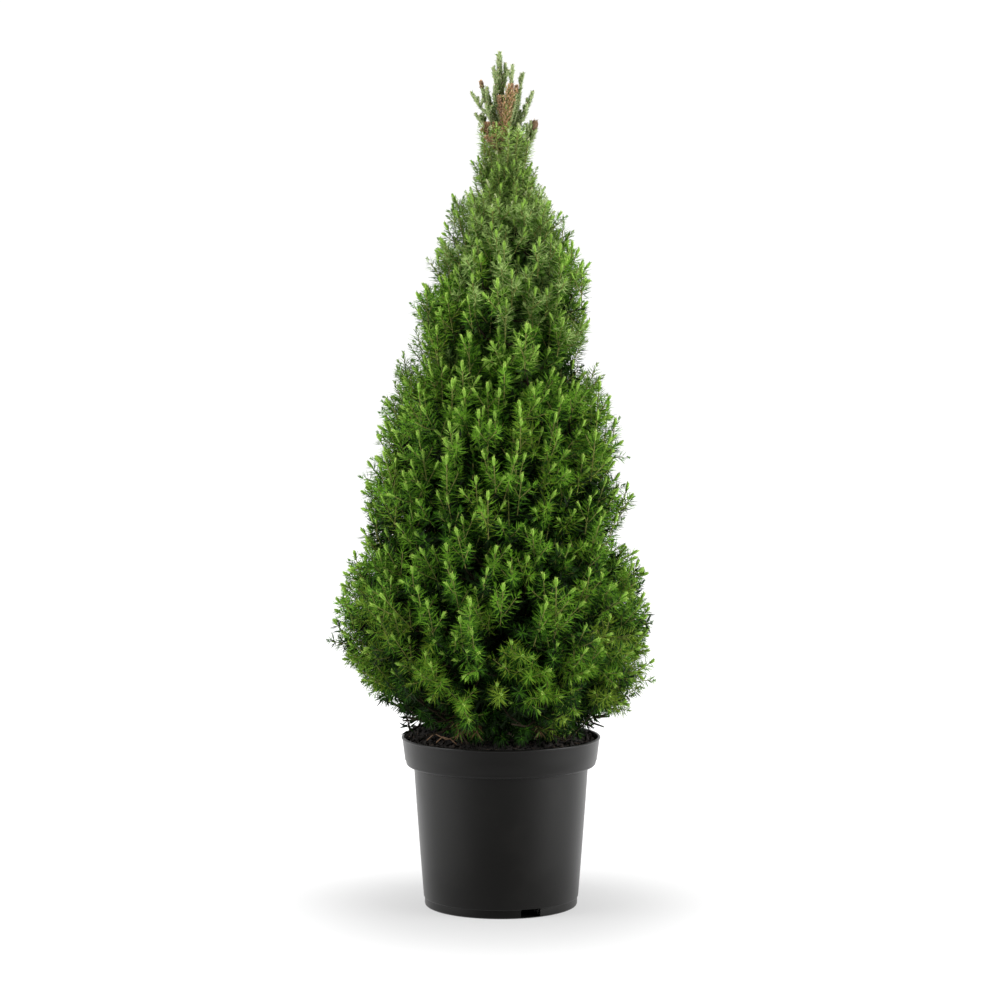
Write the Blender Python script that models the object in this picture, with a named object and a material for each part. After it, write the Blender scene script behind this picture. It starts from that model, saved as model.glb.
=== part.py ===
"""Potted dwarf spruce: a cone of needled shoots on one straight trunk, in a black nursery pot.

The pot stands on the ground at z = 0 with its axis on Z. Everything is in metres, +Z is up and -Y is
the front. The crown is divided into cells round the trunk, and each cell holds one mass of foliage.
A mass is a small core with needled shoots standing out of it, all grown from one stem by the same
seeded rule.
"""

import math
import random

import bmesh
import bpy
from mathutils import Vector

# ---- Driving dimensions --------------------------------------------------------------------------
SEAT_GAP = 0.0003  # between two pieces that touch on the real plant

POT_HEIGHT = 0.197
RIM_RADIUS = 0.115  # a 23 cm nursery pot
COLLAR_HEIGHT = 0.034
COLLAR_FOOT_RADIUS = 0.1095  # the collar leans in from the rim to here
COLLAR_CORNER = 0.004
COLLAR_CORNER_STEPS = 3
WALL_TOP_RADIUS = 0.1008
WALL_FOOT_RADIUS = 0.0896
FOOT_HEIGHT = 0.0105
FOOT_STEP = 0.0012  # the foot stands in from the wall by this much
FOOT_ROUNDING = 0.0025
FOOT_ROUNDING_STEPS = 2
POT_WALL = 0.0022
POT_FLOOR = 0.0030
CENTRE_PAD_RADIUS = 0.030  # the flat middle of the underside
GROOVE_RADIUS = 0.058
GROOVE_DEPTH = 0.0015
DRAIN_COUNT = 3
DRAIN_WIDTH = 0.027
DRAIN_DEPTH = 0.030
DRAIN_BEARING = math.radians(-67.4)
POT_SEGMENTS = 40
HARD_EDGE = math.radians(35.0)  # faces of the pot that meet more sharply than this show an edge
SOFT_EDGE = math.radians(60.0)  # the same for compost and limbs

COMPOST_BELOW_RIM = 0.006
COMPOST_CROWN = 0.002  # the middle stands this much above the edge
COMPOST_SEGMENTS = 32
COMPOST_RINGS = (0.84, 0.66, 0.42, 0.2, 0.0)  # shares of the surface's radius
HEAP_PLACE = (-0.083, 0.030)  # a heap of compost on the left, behind
HEAP_RADIUS = 0.030
HEAP_HEIGHT = 0.012

PLANT_TOP = 0.984
TRUNK_TOP = 0.838
TRUNK_FOOT_RADIUS = 0.0085
TRUNK_TOP_RADIUS = 0.0022
FLARE_RADIUS = 0.0055  # what the root flare adds at the foot
FLARE_HEIGHT = 0.014
FLARE_LOBES = 5
FLARE_LOBE_DEPTH = 0.45  # a lobe's share of the flare
TRUNK_SIDES = 10
TRUNK_RINGS = 13
TRUNK_RING_SPACING = 1.6  # above 1, the rings are closer together at the foot
# The trunk's line: height, and how far it has wandered to the right of the pot's axis.
TRUNK_LINE = ((0.190, 0.000), (0.300, 0.000), (0.440, -0.007), (0.600, -0.002), (0.780, 0.006),
              (0.880, 0.006), (0.940, 0.001), (1.000, -0.001))

# The crown's outline: height, and how far the furthest shoots reach from the trunk's line.
CROWN_OUTLINE = ((0.203, 0.105), (0.226, 0.145), (0.267, 0.174), (0.295, 0.183), (0.377, 0.183),
                 (0.405, 0.171), (0.432, 0.154), (0.488, 0.152), (0.540, 0.140), (0.598, 0.125),
                 (0.639, 0.103), (0.708, 0.102), (0.749, 0.089), (0.791, 0.070), (0.818, 0.062),
                 (0.846, 0.037), (0.865, 0.032), (0.905, 0.039), (0.928, 0.037), (0.945, 0.029),
                 (0.958, 0.019), (0.984, 0.004))
# Where one side of the crown stands out or falls back: bearing in degrees, height, spread, amount.
CROWN_SWELLS = ((180, 0.350, 0.060, 0.007), (0, 0.350, 0.060, -0.006), (0, 0.445, 0.025, -0.009),
                (180, 0.245, 0.016, -0.022), (180, 0.667, 0.012, -0.012), (0, 0.653, 0.012, -0.008))

# The shelves between tiers: height at the trunk, height at the crown's outline. The shelves rise outwards,
# as the boughs do, and more steeply towards the top.
SHELVES = ((0.209, 0.205), (0.223, 0.296), (0.250, 0.390), (0.298, 0.489), (0.370, 0.588),
           (0.470, 0.682), (0.592, 0.771), (0.812, 0.880))
MASSES_PER_TIER = (6, 6, 5, 5, 4, 4, 3)
TIERS_WITH_BOUGHS = 4
TIER_TURN = math.radians(137.5)  # each tier is turned from the one below by the golden angle
FIRST_BEARING = math.radians(-62.0)
CELL_MARGIN = 0.0012  # each mass keeps this far inside its cell

BOUGH_ROOT_RADIUS = 0.0036
BOUGH_TIP_RADIUS = 0.0025
BOUGH_STAGGER = 0.22  # neighbouring boughs start this far above and below the middle of their tier
BOUGH_REACH = 0.34  # a bough ends at this share of the crown's radius
BOUGH_SAG = 0.10  # how far a bough dips below a straight line, as a share of its length
BOUGH_SIDES = 5
BOUGH_RINGS = 4

CORE_START = 0.40  # the core spans these shares of the crown's radius
CORE_END = 0.81
CORE_ROUNDNESS = 0.60  # 1 is an ellipsoid, and less is boxier
CORE_SPREAD = (0.94, 0.96)  # how much of the cell's width and height the core fills
CORE_MERIDIANS = 8
CORE_PARALLELS = 5
HEART_HEIGHT = 0.45  # the shoots fork from here, a share of the cell's height
STEM_INTO_CORE = 0.12  # a stem goes on this far past the core's start, a share of the crown's radius
STEM_TAPER = 0.8
STEM_SHARE = 0.7  # a stem on the thin top of the trunk is at most this share of its radius

SHOOT_AREA = 0.0024  # each shoot has this much of the crown's surface
FEWEST_SHOOTS = 6
SHOOT_TRIES = 5
TRY_PULL = 0.10  # each new try is this much shorter, and this much nearer to the middle of the cell
AIM_START = (0.5, 0.35)  # where the row of aims begins in its unit square, and how far apart they are
AIM_STEP = (0.7549, 0.5698)
AIM_WIDTH = 0.88  # the aims keep to this share of the cell's width
AIM_RISE = (0.12, 0.86)  # the lowest aim, and how far the aims rise from it
AIM_MIDDLE = 0.55
AIM_JITTER = (0.05, 0.03)
AIM_LIMITS = (0.95, 0.05, 0.98)  # the widest, lowest and highest a tip may be in its cell
TIP_REACH = (0.94, 1.0)  # shares of the crown's radius
SHOOT_FAN = 0.8  # how far a shoot at the side of a mass turns with its cell
SHOOT_TILT = (-8, 6)  # degrees added to its heading
SHOOT_LENGTH = (0.042, 0.060)
SHOOT_RADIUS = 0.0055  # of the shoot's own core
SHOOT_FORK = 0.5  # a shoot's twig begins halfway from the mass's heart to the shoot
SHOOT_BEND = 0.45  # and its core is thickest at this share of its length
NEEDLE_LENGTH = 0.0185
NEEDLE_LEAN = math.radians(42.0)  # from the shoot's axis
TWIG_RADIUS = 0.0032
# Heading of a shoot above the horizon, by height: they droop at the skirt and stand upright at the top.
HEADINGS = ((0.21, -22.0), (0.27, 8.0), (0.31, 40.0), (0.36, 55.0), (0.46, 62.0), (0.62, 68.0),
            (0.80, 73.0), (0.90, 80.0))

# The spire's shoots: bearing in degrees, distance of the tip from the trunk's line, height of the tip.
SPIRE_SHOOTS = ((-58, 0.028, 0.965), (-20, 0.027, 0.956), (-10, 0.038, 0.934), (170, 0.036, 0.935),
                (-150, 0.027, 0.946), (120, 0.026, 0.958), (190, 0.034, 0.909), (5, 0.040, 0.894),
                (-95, 0.033, 0.925), (75, 0.034, 0.930), (45, 0.035, 0.945), (-125, 0.034, 0.903),
                (100, 0.033, 0.900))
SPIRE_CORE_LOW = 0.848
SPIRE_CORE_HIGH = 0.915
SPIRE_CORE_RADIUS = 0.0160
SPIRE_SHOOT_START = 0.55  # share of the core's radius
STEM_INTO_SPIRE = 0.012
LEADER_START = 0.905

# Each mass has its own random draws. A mass whose first draw doesn't fuse soundly has a later one.
REDRAWN = {"mass_1_2": 1, "mass_2_2": 1, "mass_3_3": 2, "mass_3_4": 2, "mass_3_5": 7, "mass_4_2": 1,
           "mass_4_3": 3, "mass_5_1": 10, "mass_5_3": 3, "mass_6_3": 11, "mass_spire": 3}
WELD = 1e-6  # points of a mass this close together are made one
SLIVERS = (1e-6, 2e-6, 4e-6)  # it has to stay sound when triangles thinner than these are closed up
NUDGE = 0.0004  # how far a shoot is moved where the union isn't sound
NUDGES = 30  # such tries before a shoot is left out
UPRIGHT = 0.9  # a heading that rises more steeply than this takes its side from X, not from Z
LIMB_ROOM = 3 * SEAT_GAP  # what a shoot keeps clear of the trunk

COMPOST_TOP = POT_HEIGHT - COMPOST_BELOW_RIM


# ---- Small helpers -------------------------------------------------------------------------------
def clear_scene():
    for thing in list(bpy.data.objects):
        bpy.data.objects.remove(thing)


def read_table(table, height):
    """A value from a table of (height, value) rows, straight between rows."""
    if height <= table[0][0]:
        return table[0][1]
    for (low, first), (high, second) in zip(table, table[1:]):
        if height <= high:
            return first + (second - first) * (height - low) / (high - low)
    return table[-1][1]


def mix(first, second, share):
    return first + (second - first) * share


def draws(name):
    """The random draws of one mass."""
    return random.Random(f"{name} {REDRAWN.get(name, 0)}")


def material(name, colour, roughness):
    made = bpy.data.materials.new(name)
    made.use_nodes = True
    shader = made.node_tree.nodes["Principled BSDF"]
    shader.inputs["Base Color"].default_value = (*colour, 1.0)
    shader.inputs["Roughness"].default_value = roughness
    return made


def add_object(name, mesh, finish, smooth_angle=None):
    made = bpy.data.objects.new(name, mesh)
    bpy.context.scene.collection.objects.link(made)
    mesh.materials.clear()
    mesh.materials.append(finish)
    if smooth_angle is not None:
        mesh.shade_smooth()
        mesh.set_sharp_from_angle(angle=smooth_angle)
    return made


def closed_mesh(name, bm):
    """A mesh of triangles from bm, with its faces turned outwards."""
    bmesh.ops.triangulate(bm, faces=bm.faces)
    bmesh.ops.recalc_face_normals(bm, faces=bm.faces)
    if bm.calc_volume(signed=True) < 0:
        bmesh.ops.reverse_faces(bm, faces=bm.faces)
    mesh = bpy.data.meshes.new(name)
    bm.to_mesh(mesh)
    bm.free()
    return mesh


# ---- Where things are ----------------------------------------------------------------------------
def trunk_line(height):
    """The trunk's middle at a height. The wander is eased between rows, so that the line has no kinks."""
    rows = TRUNK_LINE
    if height <= rows[0][0]:
        return Vector((rows[0][1], 0.0, height))
    for (low, first), (high, second) in zip(rows, rows[1:]):
        if height <= high:
            share = (height - low) / (high - low)
            return Vector((mix(first, second, share * share * (3 - 2 * share)), 0.0, height))
    return Vector((rows[-1][1], 0.0, height))


def trunk_radius(height):
    share = (height - COMPOST_TOP) / (TRUNK_TOP - COMPOST_TOP)
    share = min(max(share, 0.0), 1.0)
    flare = FLARE_RADIUS * math.exp(-max(height - COMPOST_TOP, 0.0) / FLARE_HEIGHT)
    return mix(TRUNK_FOOT_RADIUS, TRUNK_TOP_RADIUS, share) + flare


def crown_reach(height):
    return read_table(CROWN_OUTLINE, height)


def crown_swell(bearing, height):
    """How far the crown stands out past its outline at a bearing and a height."""
    swell = 0.0
    for degrees, middle, spread, amount in CROWN_SWELLS:
        facing = max(0.0, math.cos(bearing - math.radians(degrees)))
        swell += amount * facing ** 2 * math.exp(-((height - middle) / spread) ** 2)
    return swell


def compost_height(x, y):
    """The compost's surface: a low dome with a heap at one side."""
    out = math.hypot(x, y) / RIM_RADIUS
    dome = COMPOST_CROWN * max(0.0, 1 - out * out)
    away = math.hypot(x - HEAP_PLACE[0], y - HEAP_PLACE[1]) / HEAP_RADIUS
    return COMPOST_TOP + dome + HEAP_HEIGHT * math.exp(-away * away)


def round_trunk(bearing, radius, height):
    """The point at a bearing and a distance from the trunk's line. Bearing 0 is to the right."""
    middle = trunk_line(height)
    x = middle.x + radius * math.cos(bearing)
    y = middle.y + radius * math.sin(bearing)
    return Vector((x, y, height))


class Cell:
    """The space that one mass of foliage keeps to: a wedge round the trunk, between two rising shelves."""

    def __init__(self, bearing, half_width, low, high):
        self.bearing, self.half_width, self.low, self.high = bearing, half_width, low, high

    def shelf(self, ends, radius):
        return mix(ends[0], ends[1], radius / crown_reach(ends[1]))

    def place(self, across, along, up):
        """The point at across (-1 to 1), along (a share of the crown's radius) and up (0 to 1)."""
        outer_height = mix(self.low[1], self.high[1], up)
        bearing = self.bearing + across * self.half_width
        radius = (crown_reach(outer_height) + crown_swell(bearing, outer_height)) * along
        bearing -= across * CELL_MARGIN / radius
        floor = self.shelf(self.low, radius) + CELL_MARGIN
        roof = self.shelf(self.high, radius) - CELL_MARGIN
        return round_trunk(bearing, radius, mix(floor, roof, up))

    def holds(self, point):
        offset = point - trunk_line(point.z)
        radius = math.hypot(offset.x, offset.y)
        turn = math.remainder(math.atan2(offset.y, offset.x) - self.bearing, math.tau)
        whole = self.half_width >= math.pi
        side_room = CELL_MARGIN if whole else radius * (self.half_width - abs(turn))
        floor_room = point.z - self.shelf(self.low, radius)
        roof_room = self.shelf(self.high, radius) - point.z
        return min(side_room, floor_room, roof_room) >= CELL_MARGIN


# ---- The pot and what fills it -------------------------------------------------------------------
def spun(profile, segments):
    """A bmesh turned round Z from a profile of (radius, height) points that starts and ends on the axis."""
    bm = bmesh.new()
    line = [bm.verts.new((radius, 0.0, height)) for radius, height in profile]
    edges = [bm.edges.new(pair) for pair in zip(line, line[1:])]
    bmesh.ops.spin(bm, geom=line + edges, cent=(0, 0, 0), axis=(0, 0, 1), angle=math.tau, steps=segments)
    bmesh.ops.remove_doubles(bm, verts=bm.verts, dist=WELD)
    return bm


def lower_corner(radius, height, size, steps):
    """Points of a quarter round, from the side of a shape of this radius to its underside."""
    points = []
    for step in range(steps + 1):
        turn = math.radians(mix(0, -90, step / steps))
        points.append((radius - size + size * math.cos(turn), height + size + size * math.sin(turn)))
    return points


def inner_wall_radius(height):
    """The inside of the pot, without the collar's step."""
    share = (height - FOOT_HEIGHT) / (POT_HEIGHT - COLLAR_HEIGHT - FOOT_HEIGHT)
    return mix(WALL_FOOT_RADIUS, WALL_TOP_RADIUS, share) - POT_WALL


COLLAR_FOOT = POT_HEIGHT - COLLAR_HEIGHT
INNER_STEP = COLLAR_FOOT + POT_WALL  # height of the ledge inside the collar
INNER_FOOT_RADIUS = WALL_FOOT_RADIUS - FOOT_STEP - POT_WALL
RIM_INSIDE = RIM_RADIUS - POT_WALL
COLLAR_INSIDE = COLLAR_FOOT_RADIUS - POT_WALL


def build_pot(finish):
    foot_radius = WALL_FOOT_RADIUS - FOOT_STEP
    lip = POT_WALL / 2
    profile = [(0.0, POT_FLOOR), (INNER_FOOT_RADIUS, POT_FLOOR)]
    profile += [(inner_wall_radius(INNER_STEP), INNER_STEP), (COLLAR_INSIDE, INNER_STEP)]
    profile += [(RIM_INSIDE, POT_HEIGHT - lip)]
    profile += [(RIM_RADIUS - lip, POT_HEIGHT), (RIM_RADIUS, POT_HEIGHT - lip)]
    profile += lower_corner(COLLAR_FOOT_RADIUS, COLLAR_FOOT, COLLAR_CORNER, COLLAR_CORNER_STEPS)
    profile += [(WALL_TOP_RADIUS, COLLAR_FOOT), (WALL_FOOT_RADIUS, FOOT_HEIGHT)]
    profile += [(foot_radius, FOOT_HEIGHT - FOOT_STEP)]
    profile += lower_corner(foot_radius, 0.0, FOOT_ROUNDING, FOOT_ROUNDING_STEPS)
    profile += [(GROOVE_RADIUS, 0.0), (GROOVE_RADIUS - GROOVE_DEPTH, GROOVE_DEPTH),
                (CENTRE_PAD_RADIUS + GROOVE_DEPTH, GROOVE_DEPTH), (CENTRE_PAD_RADIUS, 0.0), (0.0, 0.0)]
    pot = add_object("pot", closed_mesh("pot", spun(profile, POT_SEGMENTS)), finish, HARD_EDGE)
    for number in range(DRAIN_COUNT):
        cut_drain(pot, DRAIN_BEARING + math.tau * number / DRAIN_COUNT)
    return pot


def cut_drain(pot, bearing):
    """A notch through the foot and the edge of the floor, where water runs out."""
    bm = bmesh.new()
    bmesh.ops.create_cube(bm, size=1.0)
    bmesh.ops.scale(bm, vec=(DRAIN_DEPTH, DRAIN_WIDTH, 2 * FOOT_HEIGHT), verts=bm.verts)
    cutter = add_object("drain_cutter", closed_mesh("drain_cutter", bm), pot.data.materials[0])
    out = WALL_FOOT_RADIUS + POT_WALL - DRAIN_DEPTH / 2
    cutter.location = (out * math.cos(bearing), out * math.sin(bearing), 0.0)
    cutter.rotation_euler = (0.0, 0.0, bearing)
    cutter.hide_render = True
    cutter.display_type = "WIRE"
    notch = pot.modifiers.new("drain", "BOOLEAN")
    notch.operation = "DIFFERENCE"
    notch.object = cutter


def build_compost(finish):
    """The filling, clear of the pot all round, with its surface lifted into a dome and a heap."""
    step = INNER_STEP + SEAT_GAP
    edge = mix(COLLAR_INSIDE, RIM_INSIDE, (COMPOST_TOP - INNER_STEP) / COLLAR_HEIGHT) - SEAT_GAP
    profile = [(0.0, POT_FLOOR + SEAT_GAP), (INNER_FOOT_RADIUS - SEAT_GAP, POT_FLOOR + SEAT_GAP)]
    profile += [(inner_wall_radius(step) - SEAT_GAP, step), (COLLAR_INSIDE - SEAT_GAP, step)]
    profile += [(edge, COMPOST_TOP)]
    profile += [(edge * share, COMPOST_TOP) for share in COMPOST_RINGS]
    bm = spun(profile, COMPOST_SEGMENTS)
    for vert in bm.verts:
        if vert.co.z > COMPOST_TOP - WELD:
            vert.co.z = compost_height(vert.co.x, vert.co.y)
    return add_object("compost", closed_mesh("compost", bm), finish, SOFT_EDGE)


# ---- Limbs ---------------------------------------------------------------------------------------
def ring_of(bm, points):
    return [bm.verts.new(point) for point in points]


def skin(bm, rings):
    """Quads between rings of the same number of points."""
    count = len(rings[0])
    for low, high in zip(rings, rings[1:]):
        for side in range(count):
            after = (side + 1) % count
            bm.faces.new((low[side], low[after], high[after], high[side]))


def across_axes(heading, like=None):
    """Two directions at right angles to a heading and to each other, the first nearest to like."""
    if like is None:
        like = Vector((0, 0, 1)) if abs(heading.z) < UPRIGHT else Vector((1, 0, 0))
    first = (like - heading * like.dot(heading)).normalized()
    return first, heading.cross(first)


def circle(middle, heading, radius, sides, turn=0.0, like=None):
    first, second = across_axes(heading, like)
    angles = [turn + math.tau * side / sides for side in range(sides)]
    return [middle + radius * (math.cos(angle) * first + math.sin(angle) * second) for angle in angles]


def limb_mesh(name, path, radii, sides):
    """One tapering limb with flat ends."""
    bm = bmesh.new()
    rings = []
    for index, point in enumerate(path):
        heading = (path[min(index + 1, len(path) - 1)] - path[max(index - 1, 0)]).normalized()
        rings.append(ring_of(bm, circle(point, heading, radii[index], sides)))
    skin(bm, rings)
    bm.faces.new(rings[0])
    bm.faces.new(rings[-1])
    return closed_mesh(name, bm)


def trunk_mesh(name, spare):
    """The trunk from its flat cut on the compost to its tip, with a lobed flare, thicker by spare."""
    foot = compost_height(0.0, 0.0) + SEAT_GAP
    bm = bmesh.new()
    rings = []
    for index in range(TRUNK_RINGS):
        share = index / (TRUNK_RINGS - 1)
        height = mix(foot, TRUNK_TOP, share ** TRUNK_RING_SPACING)
        flare = FLARE_RADIUS * math.exp(-(height - foot) / FLARE_HEIGHT)
        ring = []
        for side in range(TRUNK_SIDES):
            bearing = math.tau * side / TRUNK_SIDES
            lobe = FLARE_LOBE_DEPTH * flare * math.cos(FLARE_LOBES * bearing)
            ring.append(round_trunk(bearing, trunk_radius(height) + lobe + spare, height))
        rings.append(ring_of(bm, ring))
    skin(bm, rings)
    bm.faces.new(rings[0])
    bm.faces.new(rings[-1])
    return closed_mesh(name, bm)


def build_trunk_room():
    """A hidden shape that is cut from whatever is seated on the trunk, so that a narrow gap is left."""
    plain = material("room", (0.5, 0.5, 0.5), 1.0)
    room = add_object("trunk_room", trunk_mesh("trunk_room", SEAT_GAP), plain)
    room.hide_render = True
    room.display_type = "WIRE"
    return room


def evaluated_mesh(thing):
    bpy.context.view_layer.update()
    return bpy.data.meshes.new_from_object(thing.evaluated_get(bpy.context.evaluated_depsgraph_get()))


def seated_on_trunk(mesh, room):
    """The mesh with the trunk's room cut out of it."""
    thing = bpy.data.objects.new("seated", mesh)
    bpy.context.scene.collection.objects.link(thing)
    seat = thing.modifiers.new("seat", "BOOLEAN")
    seat.operation = "DIFFERENCE"
    seat.object = room
    cut = evaluated_mesh(thing)
    bpy.data.objects.remove(thing)
    keep_one_body(cut)
    return cut


def build_bough(name, cell, stagger, room, finish):
    """A bough from the trunk to where its mass begins. Returns the bough's tip and its heading there."""
    tip = cell.place(0.0, BOUGH_REACH, 0.5)
    root = trunk_line(mix(cell.low[0], cell.high[0], 0.5 + stagger))
    path, radii = [], []
    for index in range(BOUGH_RINGS):
        share = index / (BOUGH_RINGS - 1)
        point = root.lerp(tip, share)
        point.z -= BOUGH_SAG * (tip - root).length * share * (1 - share)
        path.append(point)
        radii.append(mix(BOUGH_ROOT_RADIUS, BOUGH_TIP_RADIUS, share))
    limb = seated_on_trunk(limb_mesh(name, path, radii, BOUGH_SIDES), room)
    add_object(name, limb, finish, SOFT_EDGE)
    return tip, (path[-1] - path[-2]).normalized()


# ---- Foliage -------------------------------------------------------------------------------------
def heading_at(height, bearing, tilt=0.0):
    rise = math.radians(read_table(HEADINGS, height)) + tilt
    flat = math.cos(rise)
    return Vector((flat * math.cos(bearing), flat * math.sin(bearing), math.sin(rise)))


def needled_shoot(fork, start, tip):
    """A slim three-sided shoot from its fork, through a bend, to its tip.

    One of its sides faces the trunk, and the other two have two needles each.
    """
    bm = bmesh.new()
    heading = (tip - start).normalized()
    middle = start.lerp(tip, SHOOT_BEND)
    away = middle - trunk_line(middle.z)
    sideways = Vector((-away.y, away.x, 0.0)) if away.length > SEAT_GAP else Vector((1, 0, 0))
    turn = -math.pi / 2
    along = (middle - fork).normalized()
    low = ring_of(bm, circle(fork, along, TWIG_RADIUS, 3, turn, sideways))
    high = ring_of(bm, circle(middle, heading, SHOOT_RADIUS, 3, turn, sideways))
    point = bm.verts.new(tip)
    bm.faces.new(low)
    for index in range(3):
        after = (index + 1) % 3
        bm.faces.new((low[index], low[after], high[after]))
        lower, upper = (low[index], high[after], high[index]), (high[index], high[after], point)
        if index == 1:
            bm.faces.new(lower)
            bm.faces.new(upper)
        else:
            add_needle(bm, lower, (start + tip) / 2, heading)
            add_needle(bm, upper, (start + tip) / 2, heading)
    return closed_mesh("shoot", bm)


def add_needle(bm, corners, inside, heading):
    """Raises a needle on a triangle of the shoot's core, leaning forwards along the shoot."""
    middle = sum((corner.co for corner in corners), Vector()) / 3
    outwards = middle - inside
    outwards -= heading * outwards.dot(heading)
    outwards.normalize()
    point = middle + NEEDLE_LENGTH * (math.cos(NEEDLE_LEAN) * heading + math.sin(NEEDLE_LEAN) * outwards)
    tip = bm.verts.new(point)
    for first, second in zip(corners, corners[1:] + corners[:1]):
        bm.faces.new((first, second, tip))


def core_mesh(cell):
    """The dense inside of a mass: a rounded wedge that fills the middle of its cell."""
    bm = bmesh.new()
    bmesh.ops.create_uvsphere(bm, u_segments=CORE_MERIDIANS, v_segments=CORE_PARALLELS, radius=1.0)
    for vert in bm.verts:
        boxy = [math.copysign(abs(value) ** CORE_ROUNDNESS, value) for value in vert.co]
        along = mix(CORE_START, CORE_END, (boxy[2] + 1) / 2)
        vert.co = cell.place(boxy[0] * CORE_SPREAD[0], along, (boxy[1] * CORE_SPREAD[1] + 1) / 2)
    return closed_mesh("core", bm)


def shoot_aims(cell):
    """Where a mass's shoots point to: (across, up) pairs spread evenly over the outside of its cell."""
    height = cell.high[1] - cell.low[1]
    width = 2 * cell.half_width * crown_reach((cell.low[1] + cell.high[1]) / 2)
    count = max(FEWEST_SHOOTS, round(height * width / SHOOT_AREA))
    for number in range(count):
        across = (AIM_START[0] + number * AIM_STEP[0]) % 1.0 * 2 - 1
        up = (AIM_START[1] + number * AIM_STEP[1]) % 1.0
        yield AIM_WIDTH * across, AIM_RISE[0] + AIM_RISE[1] * up


def grown_shoot(cell, heart, across, up, rng):
    """One shoot that keeps to the cell, or None."""
    widest, lowest, highest = AIM_LIMITS
    for attempt in range(SHOOT_TRIES):
        pull = 1 - TRY_PULL * attempt
        aim = across * pull + rng.uniform(-AIM_JITTER[0], AIM_JITTER[0])
        rise = AIM_MIDDLE + (up - AIM_MIDDLE) * pull + rng.uniform(-AIM_JITTER[1], AIM_JITTER[1])
        reach = rng.uniform(*TIP_REACH)
        tip = cell.place(max(-widest, min(aim, widest)), reach, max(lowest, min(rise, highest)))
        bearing = cell.bearing + aim * cell.half_width * SHOOT_FAN
        heading = heading_at(tip.z, bearing, math.radians(rng.uniform(*SHOOT_TILT)))
        start = tip - heading * rng.uniform(*SHOOT_LENGTH) * pull
        shoot = needled_shoot(heart.lerp(start, SHOOT_FORK), start, tip)
        if keeps_to(cell, shoot):
            return shoot
    return None


def keeps_to(cell, mesh):
    return all(clear_of_limbs(vert.co) and cell.holds(vert.co) for vert in mesh.vertices)


def clear_of_limbs(point):
    offset = point - trunk_line(point.z)
    away = math.hypot(offset.x, offset.y) - trunk_radius(point.z)
    return point.z > TRUNK_TOP + SEAT_GAP or away > LIMB_ROOM


def fuse(name, core, stem, shoots, rng, finish):
    """Joins the stem and the shoots to the core with one Boolean union.

    Where the join isn't sound the shoots are nudged a little, and in the end the last is left out.
    """
    mass = add_object(name, core, finish)
    group = bpy.data.collections.new(name + "_pieces")
    bpy.context.scene.collection.children.link(group)
    pieces = [bpy.data.objects.new("piece", mesh) for mesh in [stem, *shoots]]
    for piece in pieces:
        group.objects.link(piece)
    union = mass.modifiers.new("union", "BOOLEAN")
    union.operation = "UNION"
    union.operand_type = "COLLECTION"
    union.collection = group
    union.solver = "MANIFOLD"
    joined = joined_body(mass)
    tries = 0
    while joined is None:
        tries += 1
        if tries % NUDGES == 0:
            bpy.data.objects.remove(pieces.pop())
        for piece in pieces[1:]:
            piece.location = [rng.uniform(-NUDGE, NUDGE) for _ in range(3)]
        joined = joined_body(mass)
    mass.modifiers.clear()
    mass.data = joined
    joined.materials.clear()
    joined.materials.append(finish)
    for piece in pieces:
        bpy.data.objects.remove(piece)
    bpy.data.collections.remove(group)
    return mass


def joined_body(mass):
    """What the union makes, as one closed body, or None."""
    joined = evaluated_mesh(mass)
    keep_one_body(joined)
    return joined if is_sound(joined) else None


def shells(bm):
    """The connected surfaces of bm, as lists of faces."""
    left, found = set(bm.faces), []
    while left:
        reached, shell = [left.pop()], []
        while reached:
            face = reached.pop()
            shell.append(face)
            for edge in face.edges:
                for other in edge.link_faces:
                    if other in left:
                        left.remove(other)
                        reached.append(other)
        found.append(shell)
    return found


def keep_one_body(mesh):
    """Keeps the largest surface only, which drops loose scraps and fills sealed hollows."""
    bm = bmesh.new()
    bm.from_mesh(mesh)
    bmesh.ops.remove_doubles(bm, verts=bm.verts, dist=WELD)
    keep = set(max(shells(bm), key=len))
    bmesh.ops.delete(bm, geom=[face for face in bm.faces if face not in keep], context="FACES")
    bm.to_mesh(mesh)
    bm.free()


def is_sound(mesh):
    """Whether the mesh is one closed surface, and still is when its slivers are closed up."""
    mesh.calc_loop_triangles()
    bm = bmesh.new()
    points = [bm.verts.new(vert.co) for vert in mesh.vertices]
    for triangle in mesh.loop_triangles:
        corners = [points[index] for index in triangle.vertices]
        if bm.faces.get(corners) is None:
            bm.faces.new(corners)
    sound = all(len(edge.link_faces) == 2 for edge in bm.edges)
    for width in SLIVERS:
        bmesh.ops.dissolve_degenerate(bm, edges=bm.edges, dist=width)
        closed = all(len(edge.link_faces) == 2 for edge in bm.edges)
        sound = sound and closed and len(shells(bm)) == 1
    bm.free()
    return sound


def stem_from_tip(tip, heading, length, radius):
    """A stem just clear of a limb's tip, going on along its heading."""
    start = tip + heading * SEAT_GAP
    path = [start, start + heading * length]
    return limb_mesh("stem", path, [radius, radius * STEM_TAPER], BOUGH_SIDES)


def stem_from_trunk(cell, room):
    """A stem seated on the trunk, for a mass that has no bough."""
    end = cell.place(0.0, CORE_START + STEM_INTO_CORE, 0.5)
    root = trunk_line(mix(cell.low[0], cell.high[0], 0.5))
    radius = min(BOUGH_TIP_RADIUS, STEM_SHARE * trunk_radius(root.z))
    return seated_on_trunk(limb_mesh("stem", [root, end], [radius, radius], BOUGH_SIDES), room)


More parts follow.
